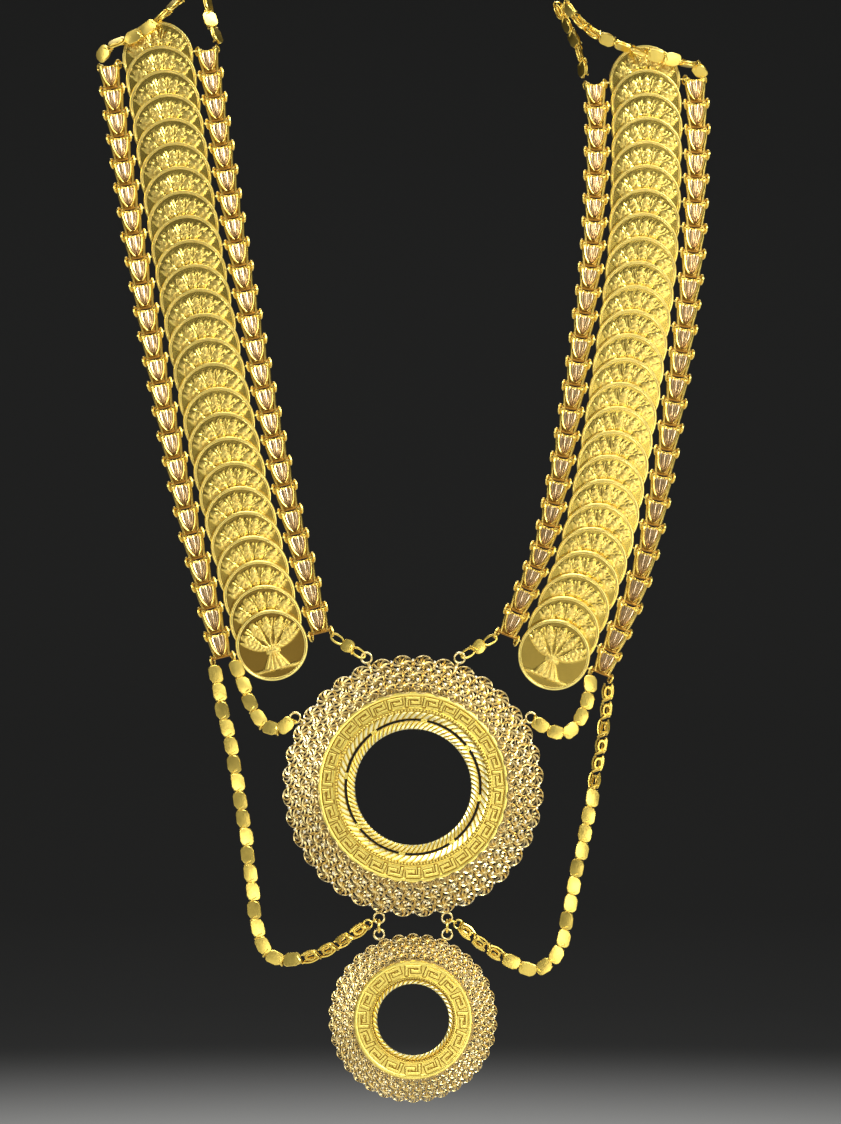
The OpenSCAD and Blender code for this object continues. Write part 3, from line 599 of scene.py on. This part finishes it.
def soldered_loop(angle, at, r, lug):
    """A ring on the medallion's edge at an angle, with a wedge of solder towards the middle."""
    loop = moved(ring(r, LOOP_THICK, 26, 8, 1), 0, 0, at)
    z0, z1 = at - lug, at - r + 0.1
    f0 = 0.65 * (lug - r)
    steps = ((z0, 0.45, f0, f0 + 0.8), ((z0 + z1) / 2, 0.7, f0 / 2, f0 / 2 + 0.7), (z1, 0.6, 0, 0.35))
    sections = [[(-w, 0.25 - lo, z), (w, 0.25 - lo, z), (0.6 * w, -hi, z), (-0.6 * w, -hi, z)]
                for z, w, lo, hi in steps]
    return placed(together([loop, loft(sections, 1)]), turn("Y", 90 - angle))


def key_unit(w, h, line, f, rise):
    """One unit of the key band as a raised line: a square hook, w wide and h high, turned in on itself."""
    t, low, end, mid = line, 0.36 * h, 0.64 * h, 0.45 * w
    p = np.array([(-t, -t), (-t, h + t), (w + t, h + t), (w + t, low - t), (mid - t, low - t), (mid - t, end),
                  (mid + t, end), (mid + t, low + t), (w - t, low + t), (w - t, h - t), (t, h - t), (t, -t)])
    n = len(p)
    way = np.sign(np.roll(p, -1, 0) - p)
    side = np.stack([way[:, 1], -way[:, 0]], 1)
    groove, inner = (p + k * (side + np.roll(side, 1, 0)) for k in (-0.28, 0.12))
    # The groove round each key has tone 0: painted shade.
    levels = ((groove, 0, 0.0), (groove, 0.1 * rise, 0.0), (p, 0.12 * rise, 0.0), (p, 0.75 * rise, 0.6),
              (inner, rise, 1.0))
    points = np.concatenate([np.stack([q[:, 0], np.full(n, -f - up), q[:, 1]], 1) for q, up, _ in levels])
    cover = np.array([(0, 1, 10, 11), (1, 2, 9, 10), (2, 3, 8, 9), (3, 4, 7, 8), (4, 5, 6, 7)])
    quads = np.concatenate([grid_quads(5, n, False, True), cover[:, ::-1], cover + 4 * n])
    return outward(Shape(points, quads, None, np.repeat([k for _, _, k in levels], n)))


def key_band(count, r_in, r_out, line, f, rise):
    """The key units round the medallion, each over a share of its step."""
    share = 0.72
    w = share * r_in * 2 * np.pi / count
    unit_shape = moved(key_unit(w, r_out - r_in, line, f, rise), -w / 2, 0, r_in)
    return placed(unit_shape, turn("Y", -np.arange(count) * 360 / count))


def beads(count, r, f, size):
    """A row of round beads."""
    angles = np.arange(count) * 360 / count
    bead = plate(size, size, 0.58 * size, 0.0, -0.8 * size, 0.3 * size, 6)
    bead.tone[:] = 0.55
    return placed(bead, turn("Y", 90 - angles), round_places(angles, r, f))


# Tones along the profile of a key band; those below 1 paint shade on the bed of the keys and under the beads
BAND_TONES = [1, 1, 1, 1, 1, 1, 1, 1, 1, 1, 0.8, 0.9, 0.9, 1, 0.1, 0.1]


def large_frame():
    """Rope-cut ring, hatched slope, key band and rims of the large medallion, round its open seat."""
    # Tone 0.5 paints shade on the rope ring's hidden faces, and 2 a highlight on the top of its lip.
    rope = lathe([(18.15, 3.1), (19.7, 3.1), (19.7, 5.2), (20.15, 5.3), (20.12, 6.4), (19.95, 6.85),
                  (19.4, 7.12), (18.8, 7.18), (18.3, 7.1), (17.85, 6.9), (17.65, 6.5), (17.65, 6.0),
                  (18.15, 6.0)], 80 * 8, [0.5, 0.5, 0.5, 0.5, 1, 2, 2, 2, 2, 2, 2, 1, 0.5],
                 80, 0.6, 5.95, 0.045)
    corners = ((-0.95, 5.3), (0.95, 5.3), (0.95, 6.1), (-0.95, 6.1))
    bridge = loft([[(x, -f, r) for x, f in corners] for r in (20, 20.9)], 1)
    starts = 80.5 + np.arange(8) * 45
    # Tone 2 paints a highlight on the top of the hatched slope, and 0.5 paints shade on its hidden faces.
    hatch = lathe([(20.8, 5.2), (23.3, 5.2), (23.3, 7.2), (23.0, 7.55), (22.6, 7.5), (22.2, 7.3),
                   (21.8, 7.05), (21.4, 6.8), (21.0, 6.55), (20.8, 6.1)], 68 * 8,
                  [0.5, 0.5, 0.5, 1, 2, 2, 2, 2, 2, 1], 68, 0.6, 6.05, 0.045)
    band = lathe([(23.1, 5.3), (30.2, 5.6), (30.2, 6.2), (28.6, 6.2), (28.6, 7.0), (28.95, 7.1), (29.0, 7.5),
                  (28.8, 7.8), (28.3, 7.95), (27.9, 7.85), (27.65, 7.55), (24.2, 7.55), (24.05, 7.8),
                  (23.85, 7.85), (23.7, 7.6), (23.1, 7.5)], 144, BAND_TONES)
    keys = key_band(30, 24.85, 27.1, 0.4, 7.53, 0.45)
    return together([rope, placed(bridge, turn("Y", 90 - starts)), hatch, band, keys,
                     beads(150, 23.4, 7.45, 0.4)])


def small_frame():
    """Rope-cut lip, key band and rims of the small medallion, round its open seat."""
    # Tone 2 paints a highlight on the top of the lip, and tones below 1 paint shade on its hidden faces.
    rope = lathe([(11.15, 2.4), (12.6, 2.4), (12.6, 5.0), (12.5, 5.5), (12.2, 5.72), (11.6, 5.75),
                  (11.2, 5.6), (10.95, 5.2), (10.9, 4.4), (11.15, 4.4)], 46 * 12,
                 [0.5, 0.5, 0.5, 1, 2, 2, 2, 2, 1.5, 0.5], 46, 0.6, 4.35, 0.12)
    band = lathe([(12.5, 3.9), (18.4, 3.9), (18.4, 4.5), (17.5, 4.5), (17.5, 5.3), (17.9, 5.4), (18.0, 5.75),
                  (17.8, 6.05), (17.3, 6.15), (16.95, 6.05), (16.7, 5.8), (13.45, 5.8), (13.3, 6.0),
                  (13.05, 6.05), (12.9, 5.85), (12.5, 5.7)], 120, BAND_TONES)
    keys = key_band(16, 13.9, 16.3, 0.4, 5.78, 0.42)
    return together([rope, band, keys, beads(104, 12.7, 5.7, 0.26)])


# Rings and clasp
def end_rings(side):
    """The ring through the low loop of the large medallion, and the ring that ends the long swag."""
    across = turn("Y", -side * SIDE_ANGLE) @ turn("Z", 90)
    return [placed(ring(SIDE_R, SIDE_WIRE, 24, 8), across, low_ring_place(side, side_out)),
            moved(ring(END_R, END_WIRE, 24, 8), *low_ring_place(side, end_out))]


def start_rings(c, side):
    """Rings in the first eyes of a tulip chain: one for the neck chain, one round the first coin's wire."""
    j = joints(c, side)
    first = hang_turns(j[1] - j[0])[0]
    made = []
    for eye, r, thick, up in ((side, 1.1, 0.22, 1.1 - EYE_DROP), (-side, LOOP_R, LOOP_WIRE, 0.0)):
        place = j[0] + eye * LOOP_SPREAD * first[:, 0] + up * first[:, 2]
        made.append(placed(ring(r, thick + 0.05, 20, 7), first @ turn("Z", 90 - eye * 30), place))
    return made


def clasp_shape():
    """A barrel with three grooves, its caps and a loop at each end."""
    x, r = np.array([(6.5, 0.5), (6.45, 1.5), (6.0, 2.1), (4.6, 2.35), (4.45, 2.15), (4.2, 2.15),
                     (4.05, 2.38), (0.35, 2.38), (0.2, 2.15)]).T
    x, r = np.concatenate([-x, x[::-1]]), np.concatenate([r, r[::-1]])
    barrel = wire(np.stack([x, 0 * x, 0 * x], 1), r, 32, ref=(0, 0, 1))
    loops = [placed(ring(1.3, 0.35, 24, 8), turn("X", 90), (s * 7.7, 0, 0)) for s in (-1, 1)]
    return moved(together([barrel] + loops), 0, 2.4, 0)


# Materials
class Socket:
    """Wraps a shader socket, so that sums and products of values add their Math nodes."""

    def __init__(self, tree, socket):
        self.tree, self.socket = tree, socket

    def node(self, kind, settings=None, out=0, **inputs):
        """Adds a node of a type, with its settings set first and then the values or links of its sockets."""
        n = self.tree.nodes.new(kind)
        for k, v in (settings or {}).items():
            setattr(n, k, v)
        for k, v in inputs.items():
            i = n.inputs[int(k[1:])] if k[0] == "i" and k[1:].isdigit() else n.inputs[k.replace("_", " ")]
            if isinstance(v, Socket):
                self.tree.links.new(v.socket, i)
            else:
                i.default_value = v
        return Socket(self.tree, n.outputs[out])

    def math(self, operation, a, b):
        """A Math node on two values."""
        return self.node("ShaderNodeMath", {"operation": operation}, i0=a, i1=b)

    def __add__(self, o):
        return self.math("ADD", self, o)

    def __radd__(self, o):
        return self.math("ADD", o, self)

    def __sub__(self, o):
        return self.math("SUBTRACT", self, o)

    def __rsub__(self, o):
        return self.math("SUBTRACT", o, self)

    def __mul__(self, o):
        return self.math("MULTIPLY", self, o)

    def __rmul__(self, o):
        return self.math("MULTIPLY", o, self)

    def __pow__(self, o):
        return self.math("POWER", self, o)

    def __rpow__(self, o):
        return self.math("POWER", o, self)

    def held(self):
        """The value kept between 0 and 1."""
        return self.math("MINIMUM", self.math("MAXIMUM", self, 0.0), 1.0)

    def mix(self, a, b):
        """Colour a where this value is 0, and b where it is 1."""
        return self.node("ShaderNodeMix", {"data_type": "RGBA"}, 2, i0=self, i6=a, i7=b)


class Finish:
    """A material: its tree, its shader and the object coordinates that its clouds lie in."""

    def __init__(self, name, metallic=1.0):
        self.material = bpy.data.materials.new(name)
        self.material.use_nodes = True
        self.tree = self.material.node_tree
        self.shader = self.tree.nodes["Principled BSDF"]
        self.start = Socket(self.tree, None)
        self.place = self.start.node("ShaderNodeTexCoord", out=3)
        self.shader.inputs["Metallic"].default_value = metallic

    def tones(self):
        """The mesh's tone, and its parts from 0 to 1 and from 1 to 2, each as a share."""
        tone = self.start.node("ShaderNodeAttribute", {"attribute_name": "tone"}, 2)
        return tone, tone.held(), (tone - 1).held()

    def noise(self, scale, detail=2.0):
        """Cloudy values, 0 to 1, of a scale per metre."""
        return self.start.node("ShaderNodeTexNoise", Vector=self.place, Scale=scale, Detail=detail)

    def made(self, colour, roughness, height=None, strength=0.0, distance=0.0):
        """Ties a colour, a roughness and a bump, over metres of distance, to the shader of the material."""
        normal = None
        if height is not None:
            normal = self.start.node("ShaderNodeBump", Strength=strength, Distance=distance, Height=height)
        for name, value in (("Base Color", colour), ("Roughness", roughness), ("Normal", normal)):
            if isinstance(value, Socket):
                self.tree.links.new(value.socket, self.shader.inputs[name])
            elif value is not None:
                self.shader.inputs[name].default_value = value
        return self.material


def rgb(c, k=1.0):
    """A colour times a number or three, with its alpha."""
    return (*(float(v * f) for v, f in zip(c, np.broadcast_to(k, 3))), 1.0)


def coin_gold(s):
    """Smooth field, frosted relief and bright rim where the tone is 0, 1 and 2, and brown field below 0,
    which is painted shade on the lower coins. The field's darker colour is a painted dark reflection.
    """
    f = Finish("coin_gold")
    tone, relief, rim = f.tones()
    grain, cloud, chips = f.noise(5200, 3), f.noise(90, 3), f.noise(1700, 2)
    # The field's colour is darker than the relief and the rim: a painted dark reflection of the polished
    # field.
    field = (cloud * 1.6 - 0.3).held().mix(rgb(s.field_colour, 0.62), rgb(s.field_colour))
    raised = (chips * 3 - 1).held().mix(rgb(s.relief_colour, (0.8, 0.66, 0.5)), rgb(s.relief_colour))
    # Painted shade: where the tone is below 0, on the lower coins, the field turns brown.
    field = (tone * -1).held().mix(field, rgb(s.painted_shade_colour))
    colour = rim.mix(relief.mix(field, raised), rgb(s.rim_colour))
    roughness = 0.22 + relief * 0.07 + cloud * 0.08
    return f.made(colour, roughness, (chips * 2 + grain) * relief * (1 - rim), 0.5, 0.0001)


def tulip_gold(s):
    """Pale cut facets, brown lines of painted shade in the creases between them, a rich gold outline and a
    rough plate painted dark as shade, where the tone is 0, -1, 1 and 2."""
    f = Finish("tulip_gold")
    tone, outline, deep = f.tones()
    cloud, fine = f.noise(700, 2), f.noise(3500, 2)
    facet = (cloud * 2.2 - 0.6).held().mix(rgb(s.facet_colour), rgb(s.facet_colour, 0.72))
    # Painted shade: where the tone is below 0, in the creases between the facets, they turn brown.
    facet = (tone * -1).held().mix(facet, rgb(s.facet_colour, (0.42, 0.33, 0.25)))
    edge = cloud.mix(rgb(s.edge_colour, 0.82), rgb(s.edge_colour))
    # Painted shade: towards tone 2, on the plate and the cross wire, the colour turns dark brown.
    colour = deep.mix(outline.mix(facet, edge), rgb(s.edge_colour, (0.36, 0.25, 0.18)))
    return f.made(colour, 0.24 + outline * 0.04 + deep * 0.2 + fine * 0.12, fine, 0.5, 0.00008)


def filigree_gold(s):
    """Drawn wire, deep brown where its tone is 0 and bright at 1, which is painted shade on its sides and
    back. It is pale on the drops of solder, at 2, and in pale patches on the wire fronts, which are painted
    highlights.
    """
    f = Finish("filigree_gold")
    _, bright, solder = f.tones()
    cloud, fine = f.noise(420, 2), f.noise(4200, 2)
    # Painted shade: towards tone 0, at the sides and backs of the wires, the colour turns deep brown.
    wires = bright.mix(rgb(s.wire_colour, (0.3, 0.2, 0.13)), rgb(s.wire_colour))
    # Painted highlights: the cloud lays pale patches in the solder's colour on the wire fronts; the drops of
    # tone 2 are solder.
    pale = (solder + (cloud * 4 - 2.2).held() * bright).held()
    return f.made(pale.mix(wires, rgb(s.solder_and_highlight_colour)), 0.22 + fine * 0.16, fine, 0.3, 0.00006)


def frame_gold(s):
    """Satin yellow gold, brown where its tone is 0, which is painted shade in the grooves, cuts and hidden
    faces, and paler at 2, a painted highlight on the tops of the cut lips.
    """
    f = Finish("frame_gold")
    _, satin, cut = f.tones()
    cloud, fine = f.noise(260, 3), f.noise(6500, 2)
    # Painted shade: towards tone 0 the colour turns brown.
    deep = cloud.mix(rgb(s.frame_colour, (0.3, 0.19, 0.1)), rgb(s.frame_colour, (0.45, 0.32, 0.2)))
    # Painted highlight: towards tone 2, on the tops of the cut lips, the colour turns pale.
    colour = cut.mix(satin.mix(deep, rgb(s.frame_colour)), rgb(s.painted_highlight_colour))
    return f.made(colour, 0.42 - satin * 0.06 + fine * 0.08, fine, 0.2, 0.00004)


def chain_gold(s):
    """Polished and brushed yellow gold of the links, rings and clasp."""
    f = Finish("chain_gold")
    cloud, fine = f.noise(330, 2), f.noise(3800, 3)
    colour = cloud.mix(rgb(s.link_colour, 0.8), rgb(s.link_colour))
    return f.made(colour, 0.24 + cloud * 0.12 + fine * 0.06, cloud * 3 + fine, 0.2, 0.00005)


def floor_paint(s):
    """Matt pale floor with a trace of unevenness. It turns into the darker wall from 0.95 to 1.95 m out, by
    the smooth step q^2 (3 - 2q) of the share q of that way."""
    f = Finish("pale_floor", 0.0)
    cloud = f.noise(3, 2)
    x, y = (f.place.node("ShaderNodeSeparateXYZ", None, k, Vector=f.place) for k in (0, 1))
    out = ((x * x + y * y) ** 0.5 - 0.95).held()
    pale = cloud.mix(rgb(s.floor_colour), rgb(s.floor_colour, 0.96))
    return f.made((out * out * (3 - out * 2)).mix(pale, rgb(s.wall_colour)), 0.8)


# Pieces
def piece(name, shape, material, body, nodes, sharp):
    """Makes the mesh of a shape in metres, with its tones and its sharp edges, and ties it to the frame."""
    mesh = bpy.data.meshes.new(name)
    loops = np.concatenate([shape.quads.ravel(), shape.tris.ravel()]).astype(np.int32)
    quads, tris = len(shape.quads), len(shape.tris)
    starts = np.concatenate([np.arange(quads) * 4, quads * 4 + np.arange(tris) * 3])
    mesh.vertices.add(len(shape.points))
    mesh.vertices.foreach_set("co", (shape.points / MM).astype(np.float32).ravel())
    mesh.loops.add(len(loops))
    mesh.loops.foreach_set("vertex_index", loops)
    mesh.polygons.add(len(starts))
    mesh.polygons.foreach_set("loop_start", starts.astype(np.int32))
    mesh.update(calc_edges=True)
    mesh.validate()
    mesh.attributes.new("tone", "FLOAT", "POINT").data.foreach_set("value", shape.tone.astype(np.float32))
    mesh.shade_smooth()
    mesh.set_sharp_from_angle(angle=math.radians(sharp))
    mesh.materials.append(material)
    o = bpy.data.objects.new(name, mesh)
    bpy.context.scene.collection.objects.link(o)
    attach(o, body)
    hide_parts(*nodes)


class NecklaceCoins(bpy.types.PropertyGroup):
    """Sizes and colours of the coins."""
    relief: FloatProperty(
        name="Relief", description="Height of the relief", default=0.0003, min=0.0001, max=0.0004,
        precision=5, unit="LENGTH")
    # Darker than the relief and rim colours: a painted dark reflection of the polished field.
    field_colour: FloatVectorProperty(
        name="Field", description="Colour of the flat field", subtype="COLOR",
        default=(0.9, 0.655, 0.13))
    # Brown painted as shade on the fields of the lowest coins.
    painted_shade_colour: FloatVectorProperty(
        name="Field painted shade", description="Colour of the field on the lowest coins", subtype="COLOR",
        default=(0.13, 0.06, 0.008))
    relief_colour: FloatVectorProperty(
        name="Relief colour", description="Colour of the frosted relief", subtype="COLOR",
        default=(1.0, 0.79, 0.22))
    rim_colour: FloatVectorProperty(
        name="Rim", description="Colour of the rim", subtype="COLOR", default=(1.0, 0.8, 0.23))


class NecklaceTulips(bpy.types.PropertyGroup):
    """Colours of the tulip chains."""
    facet_colour: FloatVectorProperty(
        name="Facets", description="Colour of the cut facets", subtype="COLOR",
        default=(0.95, 0.76, 0.48))
    edge_colour: FloatVectorProperty(
        name="Outline", description="Colour of the outline and wires", subtype="COLOR",
        default=(1.0, 0.73, 0.17))


class NecklaceMedallions(bpy.types.PropertyGroup):
    """Sizes and colours of the medallions."""
    spokes: IntProperty(name="Spokes", description="Spokes of a rosette", default=9, min=6, max=12)
    wire_colour: FloatVectorProperty(
        name="Filigree", description="Colour of the filigree wire", subtype="COLOR",
        default=(0.95, 0.75, 0.31))
    # Colour of the solder drops, and of the pale patches on the wire fronts, which are painted highlights.
    solder_and_highlight_colour: FloatVectorProperty(
        name="Solder and painted highlights", description="Colour of the solder", subtype="COLOR", default=(1.0, 0.9, 0.62))
    frame_colour: FloatVectorProperty(
        name="Frame", description="Colour of the coin frames", subtype="COLOR",
        default=(1.0, 0.81, 0.19))
    # Pale colour painted as a highlight on the tops of the cut lips.
    painted_highlight_colour: FloatVectorProperty(
        name="Painted highlight", description="Colour of the cut lips", subtype="COLOR",
        default=(1.0, 0.93, 0.58))


class NecklaceChains(bpy.types.PropertyGroup):
    """Sizes and colours of the flat link chains."""
    pitch: FloatProperty(
        name="Neck pitch", description="Length of a neck chain's link", default=0.0055, min=0.005, max=0.006,
        precision=5, unit="LENGTH")
    link_colour: FloatVectorProperty(
        name="Links", description="Colour of the links", subtype="COLOR", default=(1.0, 0.74, 0.16))


class NecklaceStage(bpy.types.PropertyGroup):
    """The floor and the lights."""
    floor_colour: FloatVectorProperty(
        name="Floor", description="Colour of the floor", subtype="COLOR", default=(0.74, 0.73, 0.71))
    wall_colour: FloatVectorProperty(
        name="Wall", description="Colour of the wall round the floor", subtype="COLOR",
        default=(0.014, 0.014, 0.013))
    light: FloatProperty(
        name="Light", description="Strength of the lights", subtype="FACTOR", default=1.0, min=0.1, max=4)


class BuildCoins(bpy.types.Operator):
    """Builds the two strips of overlapping coins."""
    bl_idname = "necklace.coins"
    bl_label = "Coin strips"

    def execute(self, context):
        s = context.scene.necklace_coins
        gold = coin_gold(s)
        # From the coin numbered dark on, painted shade darkens the field, reaching most at the last coin.
        for side, c, dark, most in (("left", left_coins, 13, 0.85), ("right", right_coins, 20, 0.5)):
            strip = coin_strip(c, MM * s.relief, dark, most)
            piece(f"{side}_coins", strip, gold, "necklace", [f"{side}_coin_strip"], 30)
        return {"FINISHED"}


class BuildTulips(bpy.types.Operator):
    """Builds the four chains of tulip links."""
    bl_idname = "necklace.tulips"
    bl_label = "Tulip chains"

    def execute(self, context):
        gold = tulip_gold(context.scene.necklace_tulips)
        for name, c, side in (("left_outer", left_coins, -1), ("left_inner", left_coins, 1),
                              ("right_inner", right_coins, -1), ("right_outer", right_coins, 1)):
            chain = link_chain(joints(c, side), [tulip_link] * (COINS - 1), 0)
            piece(f"{name}_tulips", chain, gold, "necklace", [f"{name}_border"], 24)
        return {"FINISHED"}


class BuildMedallions(bpy.types.Operator):
    """Builds the two medallions: filigree borders and coin frames."""
    bl_idname = "necklace.medallions"
    bl_label = "Medallions"

    def execute(self, context):
        s = context.scene.necklace_medallions
        wire_gold, solid_gold = filigree_gold(s), frame_gold(s)
        low = math.degrees(math.asin(SPREAD / LARGE_LOOP_AT))
        top = math.degrees(math.asin(SPREAD / SMALL_LOOP_AT))
        large = filigree(s.spokes, 28.95, 30.4, 6.3, 40.15, 36,
                         [(37.3, 3.3, 0.5, 0), (33.9, 3.05, 0, 0.1), (30.8, 2.8, 0.5, 0)],
                         [(38.3, 0.5, 0), (35.8, 0.66, 0.25), (35.8, 0.66, 0.75), (32.6, 0.62, 0.25),
                          (32.6, 0.62, 0.75)])
        large += [soldered_loop(a, LARGE_LOOP_AT, LARGE_LOOP_R, LONG_LUG) for a in LARGE_LOOP_ANGLES]
        large += [soldered_loop(a, LARGE_LOOP_AT, LARGE_LOOP_R, SHORT_LUG) for a in (270 - low, 270 + low)]
        small = filigree(s.spokes, 17.55, 18.6, 4.6, 25.9, 34,
                         [(23.95, 2.25, 0.5, 0), (21.6, 2.1, 0, 0.1), (19.5, 1.9, 0.5, 0)],
                         [(24.7, 0.34, 0), (22.9, 0.42, 0.25), (22.9, 0.42, 0.75), (20.8, 0.4, 0.25),
                          (20.8, 0.4, 0.75)])
        small += [soldered_loop(a, SMALL_LOOP_AT, SMALL_LOOP_R, SHORT_LUG) for a in (90 - top, 90 + top)]
        for size, parts, solid, z, body in (("large", large, large_frame(), LARGE_Z, "necklace"),
                                            ("small", small, small_frame(), SMALL_Z, "small_medallion")):
            at = {"x": MEDALLION_X, "y": MEDALLION_Y, "z": z}
            border, centre = moved(together(parts), **at), moved(solid, **at)
            piece(f"{size}_filigree", border, wire_gold, body, [f"{size}_filigree_border"], 50)
            piece(f"{size}_frame", centre, solid_gold, body, [f"{size}_coin_frame"], 30)
        return {"FINISHED"}


class BuildChains(bpy.types.Operator):
    """Builds the swags, the short chains, the neck chains, the rings and the clasp."""
    bl_idname = "necklace.chains"
    bl_label = "Chains and clasp"

    def execute(self, context):
        s = context.scene.necklace_chains
        gold = chain_gold(s)
        wave = 11 * np.sin(2.3 * np.arange(LONG_LINKS)) + 4
        left_kinds = [plated_link] * 18 + [wire_link] * 4
        right_kinds = [wire_link] * 6 + [plated_link] * 13 + [wire_link] * 3
        inner_kinds, short_kinds = [plated_link] * INNER_LINKS, [open_link, plated_link, open_link]
        first, second = wave[:INNER_LINKS], wave[INNER_LINKS:2 * INNER_LINKS]
        rows = (
            ("left_long_swag", swag_path(left_coins, -1, LEFT_LONG), left_kinds, wave),
            ("right_long_swag", swag_path(right_coins, 1, RIGHT_LONG), right_kinds, wave),
            ("left_inner_swag", inner_path(left_coins, -1, LEFT_INNER, 150), inner_kinds, first),
            ("right_inner_swag", inner_path(right_coins, 1, RIGHT_INNER, 30), inner_kinds, second),
            ("left_short_chain", short_path(left_coins, -1, 110), short_kinds, 0),
            ("right_short_chain", short_path(right_coins, 1, 70), short_kinds, 0),
        )
        chains = {name: [link_chain(path, kinds, spins)] for name, path, kinds, spins in rows}
        chains["left_long_swag"] += end_rings(-1)
        chains["right_long_swag"] += end_rings(1)
        spins, twists = (20, -60, 60, 30, 0, 0), (35, 40, 40, 50, 30, 30)
        for (name, route), spin, twist in zip(NECK_ROUTES.items(), spins, twists):
            chains[name] = [neck_chain(route, MM * s.pitch, spin, twist)]
        strips = (left_coins, right_coins)
        chains["neck_rings"] = [r for c in strips for side in (-1, 1) for r in start_rings(c, side)]
        chains["neck_rings"] += [moved(ring(1.7, 0.4, 26, 8), *at) for at in (LEFT_MEET, RIGHT_MEET)]
        hang = placed(ring(HANG_R, HANG_WIRE, 28, 8), turn("Z", 90), (0, MEDALLION_Y, HANG_Z))
        chains["hanging_rings"] = [moved(hang, MEDALLION_X + side * SPREAD) for side in (-1, 1)]
        chains["clasp"] = [clasp_shape()]
        for name, parts in chains.items():
            piece(f"{name}_gold", together(parts), gold, "necklace", [name], 34)
        return {"FINISHED"}


class BuildStage(bpy.types.Operator):
    """Sets the pale floor, the soft lights and the camera."""
    bl_idname = "necklace.stage"
    bl_label = "Stage"

    def execute(self, context):
        s = context.scene.necklace_stage
        scene = context.scene
        r = np.array([0.02, 0.6, 1.4, 2.2, 2.7, 3.1, 3.4, 3.55, 3.6, 3.6])[:, None]
        z = np.array([0, 0, 0, 0, 0.04, 0.2, 0.5, 0.9, 1.4, 2.6])[:, None] + FLOOR_Z
        sides = 96
        a = circle(sides)
        points = np.stack([r * np.cos(a), r * np.sin(a), z + 0 * a], -1).reshape(-1, 3)
        walls = grid_quads(len(r), sides, False, True)[:, ::-1]
        fan = [(k, k + 1, 0) for k in range(1, sides - 1)]
        mesh = bpy.data.meshes.new("floor")
        mesh.from_pydata(points.tolist(), [], walls.tolist() + fan)
        mesh.shade_smooth()
        mesh.materials.append(floor_paint(s))
        floor = bpy.data.objects.new("floor", mesh)
        scene.collection.objects.link(floor)
        floor_middle = (0, 1.6, FLOOR_Z)
        for name, at, power, size, colour in (
            ("key_light", (0.8, -1.1, 0.5), 18, (0.5, 0.4), (0.93, 1, 1)),
            ("fill_light", (-1.0, -1.0, 0.15), 6, (0.25, 0.9), (0.98, 0.98, 1)),
            ("top_light", (0.0, -0.5, 0.9), 10, (0.9, 0.25), (1, 1, 1)),
            ("low_light", (0.34, -1.0, -0.43), 1.7, (0.45, 0.25), (1, 0.98, 0.93)),
            ("front_light", (0.0, -2.1, -0.1), 1.0, (1.6, 1.4), (1, 1, 1)),
            ("floor_light", (0.0, 1.6, 1.2), 20, (1.5, 1.5), (1, 1, 1)),
        ):
            lamp = bpy.data.lights.new(name, "AREA")
            lamp.shape, lamp.size, lamp.size_y = "RECTANGLE", *size
            lamp.energy, lamp.color = power * s.light, colour
            o = bpy.data.objects.new(name, lamp)
            scene.collection.objects.link(o)
            o.location = at
            o.visible_camera = False
            aim = floor_middle if name == "floor_light" else LIGHT_MIDDLE
            dx, dy, dz = np.array(aim) - np.array(at)
            o.rotation_euler = (math.atan2(math.hypot(dx, dy), -dz), 0, math.atan2(-dx, dy))
        world = bpy.data.worlds.new("studio")
        world.use_nodes = True
        sky = world.node_tree.nodes["Background"].inputs
        sky["Color"].default_value = (0.95, 0.97, 1, 1)
        sky["Strength"].default_value = 0.03
        scene.world = world
        scene.view_settings.view_transform = "Standard"
        camera = bpy.data.cameras.new("camera")
        camera.lens = camera.sensor_width * CAMERA_WAY / VIEW_HEIGHT
        camera.clip_start, camera.clip_end = 0.05, 20
        view = bpy.data.objects.new("camera", camera)
        scene.collection.objects.link(view)
        view.location = (VIEW_MIDDLE[0], VIEW_MIDDLE[1] - CAMERA_WAY, VIEW_MIDDLE[2])
        view.rotation_euler = (math.pi / 2, 0, 0)
        scene.camera = view
        return {"FINISHED"}


class NecklacePanel(bpy.types.Panel):
    """Lists the necklace's pieces and their settings."""
    bl_idname = "VIEW3D_PT_necklace"
    bl_label = "Gold coin necklace"
    bl_space_type = "VIEW_3D"
    bl_region_type = "UI"
    bl_category = "Necklace"

    def draw(self, context):
        for group, (_, build) in GROUPS.items():
            box = self.layout.box()
            settings = getattr(context.scene, group)
            for name in settings.__annotations__:
                box.prop(settings, name)
            box.operator(build.bl_idname)


GROUPS = {
    "necklace_coins": (NecklaceCoins, BuildCoins),
    "necklace_tulips": (NecklaceTulips, BuildTulips),
    "necklace_medallions": (NecklaceMedallions, BuildMedallions),
    "necklace_chains": (NecklaceChains, BuildChains),
    "necklace_stage": (NecklaceStage, BuildStage),
}
CLASSES = [c for pair in GROUPS.values() for c in pair] + [NecklacePanel]


def register():
    """Adds the settings, the operators and the panel."""
    for c in CLASSES:
        bpy.utils.register_class(c)
    for name, (group, _) in GROUPS.items():
        setattr(bpy.types.Scene, name, PointerProperty(type=group))


def unregister():
    """Takes them away again."""
    for name in GROUPS:
        delattr(bpy.types.Scene, name)
    for c in reversed(CLASSES):
        bpy.utils.unregister_class(c)


def main():
    """Builds every piece in order."""
    register()
    bpy.ops.necklace.stage()
    bpy.ops.necklace.coins()
    bpy.ops.necklace.tulips()
    bpy.ops.necklace.medallions()
    bpy.ops.necklace.chains()


if __name__ == "__main__":
    main()
